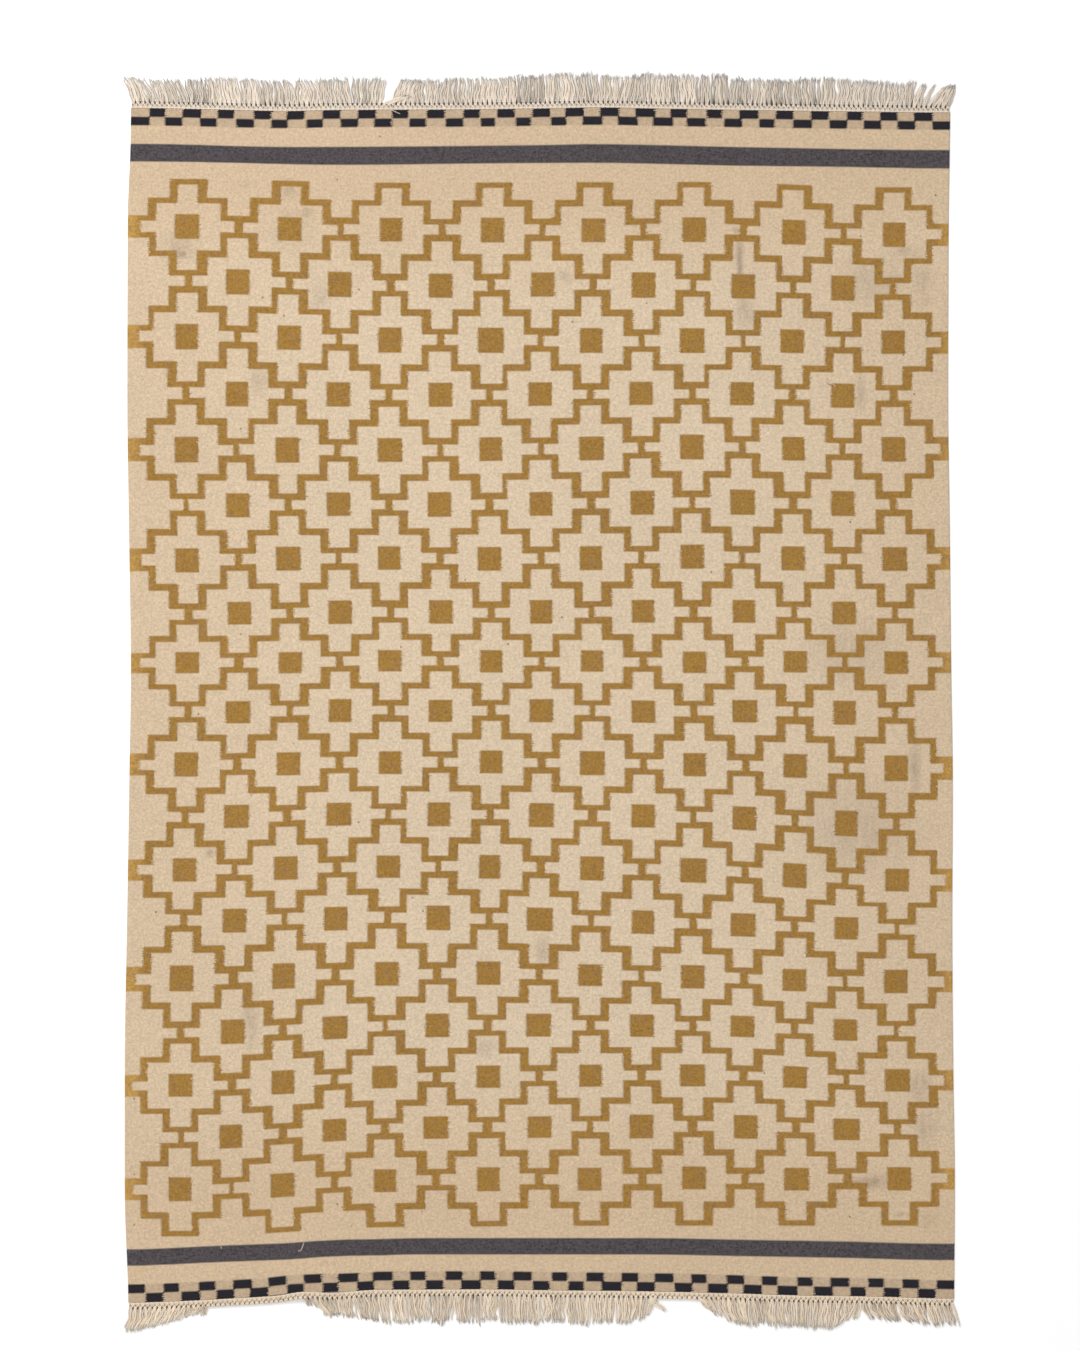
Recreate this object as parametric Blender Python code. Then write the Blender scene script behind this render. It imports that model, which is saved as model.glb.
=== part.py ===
"""A flat-woven kilim rug, 1.6 m by 2.3 m without its fringe, lying on a floor.

The web is one flat weave with slightly bowed ends and selvedges. At each end a knotted heading
carries the fringe, which lies on the floor. Along two stretches of the bottom end the fringe has
folded under the rug, so the web is raised there and has a ripple beside the longer stretch.
Metres, +X to the right, +Y along the rug to its top end, +Z up, origin under the middle.
"""

import random
from bisect import bisect_right
from collections import namedtuple
from math import cos, radians, sin

import bmesh
import bpy
from mathutils import Vector

# Driving dimensions
WEB_THICKNESS = 0.003
HEADING_WIDTH = 0.012
HEADING_THICKNESS = 0.004
GAP = 0.0003

LOCKS_PER_END = 150
LOCK_ROOT_WIDTH = 0.0066
LEAST_SPACING = 0.0066
LEAN_GROWTH = 1.3

TUCK_REACH = 0.046
RAISED_DEPTH = 0.11

# Each lock of the fringe differs from its neighbours by up to this much
LEAN_VARIATION = 0.0022
REACH_VARIATION = 0.0045
SWAY_VARIATION = 0.0012

Selvedge = namedtuple("Selvedge", "along left right")
SELVEDGES = (
    Selvedge(-1.180, -0.804, 0.807),
    Selvedge(-0.955, -0.811, 0.808),
    Selvedge(-0.720, -0.811, 0.805),
    Selvedge(-0.410, -0.806, 0.803),
    Selvedge(-0.150, -0.802, 0.804),
    Selvedge(0.060, -0.799, 0.801),
    Selvedge(0.355, -0.803, 0.798),
    Selvedge(0.590, -0.806, 0.795),
    Selvedge(0.955, -0.805, 0.796),
    Selvedge(1.077, -0.800, 0.798),
    Selvedge(1.160, -0.799, 0.799),
)

End = namedtuple("End", "across along")
EdgePoint = namedtuple("EdgePoint", "across along height")
TOP_END = (
    End(-0.80, 1.158),
    End(-0.635, 1.155),
    End(-0.49, 1.152),
    End(-0.40, 1.154),
    End(-0.165, 1.155),
    End(0.0, 1.157),
    End(0.115, 1.159),
    End(0.22, 1.157),
    End(0.46, 1.153),
    End(0.615, 1.151),
    End(0.80, 1.149),
)
BOTTOM_END = (
    End(-0.81, -1.171),
    End(-0.60, -1.162),
    End(-0.52, -1.157),
    End(-0.455, -1.148),
    End(-0.41, -1.151),
    End(-0.32, -1.146),
    End(-0.12, -1.145),
    End(0.03, -1.147),
    End(0.245, -1.149),
    End(0.515, -1.157),
    End(0.65, -1.159),
    End(0.81, -1.163),
)

# How far the end of the web stands off the floor, over the fringe folded under it
Lift = namedtuple("Lift", "across height")
TOP_LIFTS = (Lift(0.0, 0.0),)
BOTTOM_LIFTS = (
    Lift(-0.735, 0.0),
    Lift(-0.670, 0.0046),
    Lift(-0.510, 0.0046),
    Lift(-0.485, 0.0075),
    Lift(-0.455, 0.0105),
    Lift(-0.430, 0.0060),
    Lift(-0.395, 0.0),
    Lift(0.185, 0.0),
    Lift(0.225, 0.0046),
    Lift(0.310, 0.0046),
    Lift(0.350, 0.0),
)
Tuck = namedtuple("Tuck", "left right")
NO_TUCKS = ()
BOTTOM_TUCKS = (
    Tuck(-0.655, -0.463),
    Tuck(0.228, 0.309),
)

# How the fringe lies: how far a tip is to the right of its root, and how far out it reaches
Lay = namedtuple("Lay", "across lean reach")
TOP_LAY = (
    Lay(-0.80, -0.018, 0.050),
    Lay(-0.74, -0.016, 0.047),
    Lay(-0.68, -0.012, 0.048),
    Lay(-0.58, -0.007, 0.050),
    Lay(-0.47, -0.003, 0.049),
    Lay(-0.37, -0.005, 0.050),
    Lay(-0.31, 0.008, 0.049),
    Lay(-0.27, 0.015, 0.047),
    Lay(-0.23, 0.003, 0.048),
    Lay(-0.10, 0.000, 0.051),
    Lay(0.00, 0.001, 0.056),
    Lay(0.06, -0.006, 0.055),
    Lay(0.13, 0.003, 0.052),
    Lay(0.17, 0.010, 0.055),
    Lay(0.24, 0.000, 0.058),
    Lay(0.33, 0.000, 0.056),
    Lay(0.42, 0.001, 0.052),
    Lay(0.60, 0.002, 0.052),
    Lay(0.69, 0.006, 0.048),
    Lay(0.735, 0.014, 0.044),
    Lay(0.75, 0.030, 0.040),
    Lay(0.80, 0.016, 0.042),
)
BOTTOM_LAY = (
    Lay(-0.80, -0.010, 0.045),
    Lay(-0.74, -0.016, 0.037),
    Lay(-0.70, -0.010, 0.027),
    Lay(-0.66, -0.002, 0.018),
    Lay(-0.46, 0.012, 0.020),
    Lay(-0.44, 0.022, 0.029),
    Lay(-0.40, 0.012, 0.038),
    Lay(-0.30, 0.008, 0.050),
    Lay(-0.17, 0.002, 0.054),
    Lay(-0.10, 0.004, 0.053),
    Lay(-0.02, 0.001, 0.053),
    Lay(0.07, 0.004, 0.050),
    Lay(0.17, -0.006, 0.052),
    Lay(0.22, -0.009, 0.033),
    Lay(0.31, 0.022, 0.021),
    Lay(0.33, 0.020, 0.034),
    Lay(0.39, 0.008, 0.048),
    Lay(0.50, 0.000, 0.050),
    Lay(0.565, -0.005, 0.050),
    Lay(0.61, -0.006, 0.037),
    Lay(0.64, 0.005, 0.037),
    Lay(0.70, 0.010, 0.036),
    Lay(0.76, 0.013, 0.042),
    Lay(0.80, 0.014, 0.038),
)

# A lock that lies free: how far along it is, its width and thickness
Station = namedtuple("Station", "share width thickness")
FREE_STATIONS = (
    Station(0.28, 0.0052, 0.0034),
    Station(0.68, 0.0058, 0.0030),
    Station(1.00, 0.0036, 0.0018),
)

# A lock folded under the rug: how far outside the heading it is, its share of the height there,
# and how many degrees it has turned downwards
Fold = namedtuple("Fold", "outward rise turn width thickness")
TUCK_FOLDS = (
    Fold(0.0030, 0.85, 35, 0.0056, 0.0030),
    Fold(0.0056, 0.42, 90, 0.0056, 0.0026),
    Fold(0.0024, 0.0, 180, 0.0056, 0.0024),
    Fold(-TUCK_REACH, 0.0, 180, 0.0040, 0.0016),
)

# The web's grid: the rows are close together where the bottom end is raised
WEB_COLUMNS = 72
RAISED_ROWS = 6
LEVEL_ROWS = 16

WOOL_GROUND = (216, 194, 164)
COTTON_FRINGE = (209, 197, 183)
CLOTH_ROUGHNESS = 0.9


def slope(places, values, row):
    """The curve's slope at one row: level at a peak or a dip, so that the curve never overshoots."""
    if row in (0, len(places) - 1):
        return 0.0
    before = (values[row] - values[row - 1]) / (places[row] - places[row - 1])
    after = (values[row + 1] - values[row]) / (places[row + 1] - places[row])
    if before * after <= 0:
        return 0.0
    return 2 * before * after / (before + after)


def read(table, at, column):
    """A value on the smooth curve through this column, at a place along the first column."""
    places = [row[0] for row in table]
    values = [getattr(row, column) for row in table]
    if at <= places[0] or len(table) == 1:
        return values[0]
    if at >= places[-1]:
        return values[-1]
    row = bisect_right(places, at) - 1
    span = places[row + 1] - places[row]
    share = (at - places[row]) / span
    rise = slope(places, values, row) * span
    run_out = slope(places, values, row + 1) * span
    turned = eased(share)
    return (
        values[row] * (1 - turned)
        + values[row + 1] * turned
        + rise * share * (1 - share) ** 2
        - run_out * share**2 * (1 - share)
    )


def eased(share):
    """0 to 1, level at both ends."""
    share = min(max(share, 0.0), 1.0)
    return share * share * (3 - 2 * share)


def linear_colour(red, green, blue):
    """A colour given as 0 to 255, as a shader takes it."""
    return [(value / 255) ** 2.2 for value in (red, green, blue)] + [1.0]


def cloth_material(name, colour):
    material = bpy.data.materials.new(name)
    material.use_nodes = True
    shader = material.node_tree.nodes["Principled BSDF"]
    shader.inputs["Base Color"].default_value = linear_colour(*colour)
    shader.inputs["Roughness"].default_value = CLOTH_ROUGHNESS
    shader.inputs["Metallic"].default_value = 0.0
    return material


def finish_object(name, mesh, material, collection):
    """Turns a bmesh into an object of its own, with its faces pointing out."""
    bmesh.ops.recalc_face_normals(mesh, faces=mesh.faces)
    data = bpy.data.meshes.new(name)
    mesh.to_mesh(data)
    mesh.free()
    data.materials.append(material)
    made = bpy.data.objects.new(name, data)
    collection.objects.link(made)
    return made


def slab_grid(columns, rows):
    """A closed flat slab, and each vertex's column, row and level, 0 under and 1 over."""
    mesh = bmesh.new()
    bmesh.ops.create_grid(mesh, x_segments=columns, y_segments=rows, size=1.0)
    upper = bmesh.ops.extrude_face_region(mesh, geom=mesh.faces[:])["geom"]
    over = {item for item in upper if isinstance(item, bmesh.types.BMVert)}
    places = {}
    for vertex in mesh.verts:
        column = round((vertex.co.x + 1) / 2 * columns)
        row = round((vertex.co.y + 1) / 2 * rows)
        places[vertex] = (column, row, int(vertex in over))
    return mesh, places


def web_rows():
    """Shares of the rug's length from the bottom end, for the rows of the web's grid."""
    length = TOP_END[0].along - BOTTOM_END[0].along
    raised = [RAISED_DEPTH / length * row / RAISED_ROWS for row in range(RAISED_ROWS)]
    start = RAISED_DEPTH / length
    level = [start + (1 - start) * row / LEVEL_ROWS for row in range(LEVEL_ROWS + 1)]
    return raised + level


def column_across(along, column):
    """How far across the rug a column of the web's grid is, at this place along it."""
    left = read(SELVEDGES, along, "left")
    right = read(SELVEDGES, along, "right")
    return left + (right - left) * column / WEB_COLUMNS


def woven_end(end, lifts):
    """The points of the web's grid at one end: the heading follows the straight runs between."""
    points = []
    for column in range(WEB_COLUMNS + 1):
        across = column_across(end[0].along, column)
        points.append(EdgePoint(across, read(end, across, "along"), read(lifts, across, "height")))
    return points


def on_woven_end(points, at, column):
    """A value on the straight run between two points of a woven end."""
    places = [point.across for point in points]
    row = min(max(bisect_right(places, at) - 1, 0), len(points) - 2)
    share = (at - places[row]) / (places[row + 1] - places[row])
    start = getattr(points[row], column)
    return start + (getattr(points[row + 1], column) - start) * share


def make_web(material, collection):
    """The woven cloth: one thin sheet with the rug's outline, raised over the folded fringe."""
    rows = web_rows()
    mesh, places = slab_grid(WEB_COLUMNS, len(rows) - 1)
    for vertex, (column, row, level) in places.items():
        share = rows[row]
        along = BOTTOM_END[0].along + share * (TOP_END[0].along - BOTTOM_END[0].along)
        across = column_across(along, column)
        bottom = read(BOTTOM_END, across, "along")
        top = read(TOP_END, across, "along")
        fade = 1 - eased(share * (top - bottom) / RAISED_DEPTH)
        height = read(BOTTOM_LIFTS, across, "height") * fade
        vertex.co = (across, bottom + share * (top - bottom), height + level * WEB_THICKNESS)
    return finish_object("web", mesh, material, collection)


class Fringe:
    """One end's knotted heading with its locks, built as one body."""

    def __init__(self, woven, outward, tucks, lays, seed):
        self.woven = woven
        self.outward = outward
        self.tucks = tucks
        self.lays = lays
        self.chance = random.Random(seed)
        self.left = woven[0].across
        self.right = woven[-1].across
        self.pitch = (self.right - self.left) / LOCKS_PER_END
        self.neighbour = None

    def root(self, lock):
        return self.left + self.pitch * (lock + 0.5)

    def lift(self, across):
        return on_woven_end(self.woven, across, "height")

    def edge(self, across, out):
        """How far along the rug a point is that lies this far outside the web's end."""
        return on_woven_end(self.woven, across, "along") + self.outward * out

    def heading(self):
        """The knotted band: a strip whose outer side has one face for each lock."""
        columns = 2 * LOCKS_PER_END + 1
        mesh, places = slab_grid(columns, 1)
        for vertex, (column, row, level) in places.items():
            across = self.column_place(column, columns)
            outer = row == (1 if self.outward > 0 else 0)
            out = GAP + HEADING_WIDTH * outer
            height = self.lift(across) + HEADING_THICKNESS * level
            vertex.co = (across, self.edge(across, out), height)
        return mesh, places

    def column_place(self, column, columns):
        if column == 0:
            return self.left
        if column == columns:
            return self.right
        lock = (column - 1) // 2
        side = 1 if column % 2 == 0 else -1
        return self.root(lock) + side * LOCK_ROOT_WIDTH / 2

    def root_faces(self, mesh, places):
        """The outer faces that the locks grow from, by lock."""
        outer_row = 1 if self.outward > 0 else 0
        found = {}
        for face in mesh.faces:
            spots = [places[vertex] for vertex in face.verts]
            columns = sorted({column for column, _, _ in spots})
            on_side = all(row == outer_row for _, row, _ in spots)
            if on_side and len(columns) == 2 and columns[0] % 2 == 1:
                found[columns[0] // 2] = face
        return found

    def lie(self, root):
        """A free lock's lean and reach, with the lean kept clear of the lock before it."""
        lean = read(self.lays, root, "lean") + self.chance.uniform(-1, 1) * LEAN_VARIATION
        reach = read(self.lays, root, "reach") + self.chance.uniform(-1, 1) * REACH_VARIATION
        if self.neighbour:
            last_root, last_lean, last_reach = self.neighbour
            shared = min(reach, last_reach)
            taken = last_root + last_lean * (shared / last_reach) ** LEAN_GROWTH
            lean = max(lean, (taken + LEAST_SPACING - root) / (shared / reach) ** LEAN_GROWTH)
        self.neighbour = (root, lean, reach)
        return lean, reach

    def free_sections(self, lock):
        """Centres, sideways and upward half sizes of a lock that lies on the floor."""
        root = self.root(lock)
        lean, reach = self.lie(root)
        sway = self.chance.uniform(-1, 1) * SWAY_VARIATION
        start = self.edge(root, GAP + HEADING_WIDTH)
        sections = []
        for share, width, thickness in FREE_STATIONS:
            across = root + lean * share**LEAN_GROWTH + sway * (1 - share)
            fall = self.lift(root) * max(0.0, 1 - share / FREE_STATIONS[1].share)
            centre = Vector((across, start + self.outward * reach * share, fall + thickness / 2))
            sections.append((centre, Vector((width / 2, 0, 0)), Vector((0, 0, thickness / 2))))
        return sections

    def tucked_sections(self, lock):
        """The same for a lock that folds down over the heading's edge and back under the rug."""
        root = self.root(lock)
        reach = self.chance.uniform(0.8, 1.0)
        self.neighbour = None
        start = self.edge(root, GAP + HEADING_WIDTH)
        crown = self.lift(root) + HEADING_THICKNESS / 2
        sections = []
        for outward, rise, turned, width, thickness in TUCK_FOLDS:
            turn = radians(turned)
            out = outward * (reach if outward < 0 else 1.0)
            height = max(crown * rise, thickness / 2)
            centre = Vector((root, start + self.outward * out, height))
            upward = Vector((0, self.outward * sin(turn), cos(turn))) * thickness / 2
            sections.append((centre, Vector((width / 2, 0, 0)), upward))
        return sections

    def is_tucked(self, lock):
        return any(tuck.left < self.root(lock) < tuck.right for tuck in self.tucks)

    def grow_lock(self, mesh, face, places, lock):
        """Extrudes the lock's root face through its sections, corner by corner."""
        first = 2 * lock + 1
        corners = [places[vertex] for vertex in face.verts]
        sides = [-1 if column == first else 1 for column, _, _ in corners]
        levels = [1 if level else -1 for _, _, level in corners]
        sections = self.tucked_sections(lock) if self.is_tucked(lock) else self.free_sections(lock)
        for centre, sideways, upward in sections:
            face = bmesh.ops.extrude_discrete_faces(mesh, faces=[face])["faces"][0]
            for vertex, side, level in zip(face.verts, sides, levels):
                vertex.co = centre + sideways * side + upward * level

    def make(self, name, material, collection):
        mesh, places = self.heading()
        for lock, face in sorted(self.root_faces(mesh, places).items()):
            self.grow_lock(mesh, face, places, lock)
        return finish_object(name, mesh, material, collection)


def main():
    for leftover in list(bpy.data.objects):
        bpy.data.objects.remove(leftover, do_unlink=True)
    collection = bpy.data.collections.new("kilim_rug")
    bpy.context.scene.collection.children.link(collection)
    wool = cloth_material("wool_ground", WOOL_GROUND)
    cotton = cloth_material("cotton_fringe", COTTON_FRINGE)
    make_web(wool, collection)
    top = Fringe(woven_end(TOP_END, TOP_LIFTS), 1, NO_TUCKS, TOP_LAY, seed=11)
    top.make("fringe_top", cotton, collection)
    bottom = Fringe(woven_end(BOTTOM_END, BOTTOM_LIFTS), -1, BOTTOM_TUCKS, BOTTOM_LAY, seed=12)
    bottom.make("fringe_bottom", cotton, collection)


main()
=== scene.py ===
"""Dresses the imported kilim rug: its woven faces, its knotted fringe, and the floor, light and camera.

Metres, +X to the right, +Y along the rug to its top end, +Z up. The woven faces are tiled with one
mesh for each yarn colour. A place on the cloth is a weft line and a column, which counts warps.
"""

import math
import random
from collections import namedtuple

import bpy
import numpy as np
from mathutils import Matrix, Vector


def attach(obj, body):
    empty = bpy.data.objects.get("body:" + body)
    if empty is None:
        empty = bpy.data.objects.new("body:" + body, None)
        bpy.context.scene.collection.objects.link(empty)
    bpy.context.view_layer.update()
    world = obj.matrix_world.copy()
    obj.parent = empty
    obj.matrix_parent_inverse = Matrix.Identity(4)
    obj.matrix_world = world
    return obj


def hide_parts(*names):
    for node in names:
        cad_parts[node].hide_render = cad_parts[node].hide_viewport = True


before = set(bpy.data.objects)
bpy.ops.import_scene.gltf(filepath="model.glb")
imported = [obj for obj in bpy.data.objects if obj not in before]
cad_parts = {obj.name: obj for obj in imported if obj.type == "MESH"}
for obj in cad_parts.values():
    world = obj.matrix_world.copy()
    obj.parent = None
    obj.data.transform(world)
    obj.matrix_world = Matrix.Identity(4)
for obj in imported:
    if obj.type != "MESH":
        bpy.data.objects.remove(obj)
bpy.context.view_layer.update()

TURN = 2 * math.pi


def table(columns, *rows):
    """Rows of values whose columns have names."""
    kind = namedtuple("Row", columns)
    return tuple(kind(*row) for row in rows)


# The cloth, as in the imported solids
WEB_THICKNESS = 0.003
HEADING_WIDTH = 0.012
TUCK_REACH = 0.046
RAISED_DEPTH = 0.11
LEAN_GROWTH = 1.3
SELVEDGES = table(
    "along left right",
    (-1.180, -0.804, 0.807), (-0.955, -0.811, 0.808), (-0.720, -0.811, 0.805), (-0.410, -0.806, 0.803),
    (-0.150, -0.802, 0.804), (0.060, -0.799, 0.801), (0.355, -0.803, 0.798), (0.590, -0.806, 0.795),
    (0.955, -0.805, 0.796), (1.077, -0.800, 0.798), (1.160, -0.799, 0.799),
)

# Lines across the rug: the two ends, the bands' sides, and rows of the net
TOP_END = table(
    "across along",
    (-0.80, 1.158), (-0.635, 1.155), (-0.49, 1.152), (-0.40, 1.154), (-0.165, 1.155), (0.0, 1.157),
    (0.115, 1.159), (0.22, 1.157), (0.46, 1.153), (0.615, 1.151), (0.80, 1.149),
)
BOTTOM_END = table(
    "across along",
    (-0.81, -1.171), (-0.60, -1.162), (-0.52, -1.157), (-0.455, -1.148), (-0.41, -1.151),
    (-0.32, -1.146), (-0.12, -1.145), (0.03, -1.147), (0.245, -1.149), (0.515, -1.157),
    (0.65, -1.159), (0.81, -1.163),
)
BOTTOM_BAND = table(
    "across along",
    (-0.80, -1.0675), (-0.635, -1.0605), (-0.48, -1.0545), (-0.40, -1.0485), (-0.32, -1.0475),
    (-0.24, -1.0455), (0.22, -1.0455), (0.38, -1.0485), (0.61, -1.0525), (0.77, -1.0565),
)
TOP_BAND_INNER = table(
    "across along",
    (-0.78, 1.0542), (-0.68, 1.0532), (-0.39, 1.0474), (-0.10, 1.0505), (0.10, 1.0515),
    (0.39, 1.0458), (0.58, 1.0438), (0.78, 1.0406),
)
TOP_BAND_OUTER = table(
    "across along",
    (-0.78, 1.0888), (-0.49, 1.0825), (0.00, 1.0862), (0.10, 1.0882), (0.39, 1.0824), (0.78, 1.0767),
)
NET_PLACES = (-0.692, -0.296, 0.298, 0.692)
NET_ROWS = table(
    "row left inner_left inner_right right",
    (18, -0.950, -0.932, -0.929, -0.929),
    (16, -0.749, -0.7325, -0.7265, -0.738),
    (14, -0.5405, -0.530, -0.537, -0.546),
    (13, -0.424, -0.419, -0.433, -0.4425),
    (12, -0.3285, -0.3205, -0.3285, -0.348),
    (9, -0.0185, -0.0155, -0.0175, -0.020),
    (7, 0.170, 0.1745, 0.1745, 0.1735),
    (4, 0.492, 0.490, 0.498, 0.493),
    (2, 0.713, 0.706, 0.704, 0.7005),
    (0, 0.928, 0.9205, 0.922, 0.9115),
)

# How high each end lies over the fringe that is folded under it, and where that is
TOP_LIFTS = table("across height", (0.0, 0.0), (1.0, 0.0))
BOTTOM_LIFTS = table(
    "across height",
    (-0.735, 0.0), (-0.670, 0.0046), (-0.510, 0.0046), (-0.485, 0.0075), (-0.455, 0.0105),
    (-0.430, 0.0060), (-0.395, 0.0), (0.185, 0.0), (0.225, 0.0046), (0.310, 0.0046), (0.350, 0.0),
)
BOTTOM_TUCKS = table("left right", (-0.655, -0.463), (0.228, 0.309))

# How the fringe lies: how far a tip is to the right of its root, and how far out it reaches
TOP_LAY = table(
    "across lean reach",
    (-0.80, -0.018, 0.050), (-0.74, -0.016, 0.047), (-0.68, -0.012, 0.048), (-0.58, -0.007, 0.050),
    (-0.47, -0.003, 0.049), (-0.37, -0.005, 0.050), (-0.31, 0.008, 0.049), (-0.27, 0.015, 0.047),
    (-0.23, 0.003, 0.048), (-0.10, 0.000, 0.051), (0.00, 0.001, 0.056), (0.06, -0.006, 0.055),
    (0.13, 0.003, 0.052), (0.17, 0.010, 0.055), (0.24, 0.000, 0.058), (0.33, 0.000, 0.056),
    (0.42, 0.001, 0.052), (0.60, 0.002, 0.052), (0.69, 0.006, 0.048), (0.735, 0.014, 0.044),
    (0.75, 0.030, 0.040), (0.80, 0.016, 0.042),
)
BOTTOM_LAY = table(
    "across lean reach",
    (-0.80, -0.010, 0.045), (-0.74, -0.016, 0.037), (-0.70, -0.010, 0.027), (-0.66, -0.002, 0.018),
    (-0.46, 0.012, 0.020), (-0.44, 0.022, 0.029), (-0.40, 0.012, 0.038), (-0.30, 0.008, 0.050),
    (-0.17, 0.002, 0.054), (-0.10, 0.004, 0.053), (-0.02, 0.001, 0.053), (0.045, -0.005, 0.051),
    (0.062, 0.006, 0.052), (0.12, 0.002, 0.055), (0.17, -0.007, 0.055), (0.20, -0.014, 0.049),
    (0.22, -0.020, 0.040), (0.31, 0.022, 0.021), (0.33, 0.020, 0.034), (0.39, 0.008, 0.048),
    (0.50, 0.000, 0.051), (0.565, -0.003, 0.054), (0.59, -0.012, 0.050), (0.612, -0.021, 0.038),
    (0.63, 0.004, 0.036), (0.65, 0.020, 0.036), (0.70, 0.017, 0.040), (0.76, 0.013, 0.042),
    (0.80, 0.014, 0.038),
)

# The weave: its warps, and how many weft lines each part of the pattern has
WARPS = 700
WARP_PITCH = 0.0023
WEFT_PITCH = 0.00215
CHECK_LINES = 8
TIP_LINES = 43
ROW_LINES = 48
LAST_ROW = 18
CHECKS_ACROSS = 47

# How far from an end the lines between its checks and bands lie
CHECK_DEPTH = 0.0176
CHECKS_DEPTH = 0.0351
BOTTOM_BAND_WIDTH = 0.0320
TOP_CHECK_DEPTH = 0.0164
TOP_CHECKS_DEPTH = 0.0332
NET_TIP = 0.0923

# Half sizes of a medallion's stepped crosses and middle square, in warps and weft lines
Cross = namedtuple("Cross", "across along")
INNER_CROSSES = (Cross(9.0, 37.8), Cross(27.4, 21.1), Cross(40.2, 4.5))
OUTER_CROSSES = (Cross(16.1, 43.5), Cross(34.3, 26.7))
SIDE_ARM = Cross(46.0, 10.4)
SELVEDGE_ARM = Cross(62.0, 10.4)
SQUARE = Cross(10.0, 10.6)

# Where the middles of a row's first and last medallions are, as shares of the rug's width
FIRST_MEDALLION = 0.0728
FIRST_DRIFT = -0.0065
LAST_MEDALLION = 0.9320
LAST_DRIFT = 0.0006
MEDALLIONS = 8

# The middle columns lean to the right over the top rows: by this many warps at the first row
COLUMN_BOW = 2.3
BOWED_ROWS = 6

# Stations across the cloth, in warps, where it may bend. None falls on a warp's side.
ROUNDED_WARPS = 1.3
EDGE_STATIONS = (0.0, 0.15, 0.5, ROUNDED_WARPS, 2.5)
STATION_SPACING = 25
LINE_SPACING = 24

# Where a weft line is taken to meet the left selvedge, to look up how wide the cloth is there
LEFT_SIDE = -0.805

WOOL, MUSTARD, CHARCOAL, NAVY, TAN = YARN_COLOURS = range(5)


def eased(share):
    """0 to 1, level at both ends."""
    share = np.clip(share, 0.0, 1.0)
    return share * share * (3 - 2 * share)


def slopes(places, values):
    """The curve's slopes: level at a peak or a dip, so that the curve never overshoots."""
    steps = np.diff(values) / np.diff(places)
    before, after = steps[:-1], steps[1:]
    found = np.zeros(len(places))
    same_way = before * after > 0
    inner = found[1:-1]
    inner[same_way] = 2 * before[same_way] * after[same_way] / (before + after)[same_way]
    return found


def interval(places, at):
    """Which interval between the places each value is in, the last one for the last place."""
    return np.clip(np.searchsorted(places, at, "right") - 1, 0, len(places) - 2)


def smooth_curve(places, values, at):
    """Values on the smooth curve through these points, held level beyond its ends."""
    places = np.asarray(places, float)
    values = np.asarray(values, float)
    at = np.clip(at, places[0], places[-1])
    row = interval(places, at)
    span = places[row + 1] - places[row]
    share = (at - places[row]) / span
    slope = slopes(places, values)
    turned = eased(share)
    return (
        values[row] * (1 - turned)
        + values[row + 1] * turned
        + slope[row] * span * share * (1 - share) ** 2
        - slope[row + 1] * span * share**2 * (1 - share)
    )


def read(rows, at, column):
    """Values on the smooth curve through this column, at places along the first column."""
    return smooth_curve([row[0] for row in rows], [getattr(row, column) for row in rows], at)


def lift_of(across, along):
    """How high the underside is over the fringe folded under the bottom end."""
    inwards = along - read(BOTTOM_END, across, "along")
    return read(BOTTOM_LIFTS, across, "height") * (1 - eased(inwards / RAISED_DEPTH))


WAVES = table(
    "across along half_width half_length height",
    (0.39, 0.83, 0.07, 0.22, 0.0009), (-0.44, 1.06, 0.16, 0.09, 0.0008),
    (0.10, 1.00, 0.25, 0.12, 0.0005), (-0.455, -1.00, 0.08, 0.16, 0.0008),
    (0.62, -0.28, 0.16, 0.30, 0.0007), (-0.30, 0.25, 0.35, 0.22, 0.0005),
    (0.76, -0.98, 0.06, 0.12, 0.0009), (-0.60, -0.45, 0.22, 0.25, 0.0006),
    (0.15, -0.65, 0.30, 0.18, 0.0005),
)


def wave_of(across, along):
    """The gentle unevenness with which the cloth lies on the floor."""
    height = np.zeros(np.broadcast(across, along).shape)
    for wave in WAVES:
        reach = ((across - wave.across) / wave.half_width) ** 2
        reach = reach + ((along - wave.along) / wave.half_length) ** 2
        height = height + wave.height * np.exp(-reach)
    return height


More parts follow.
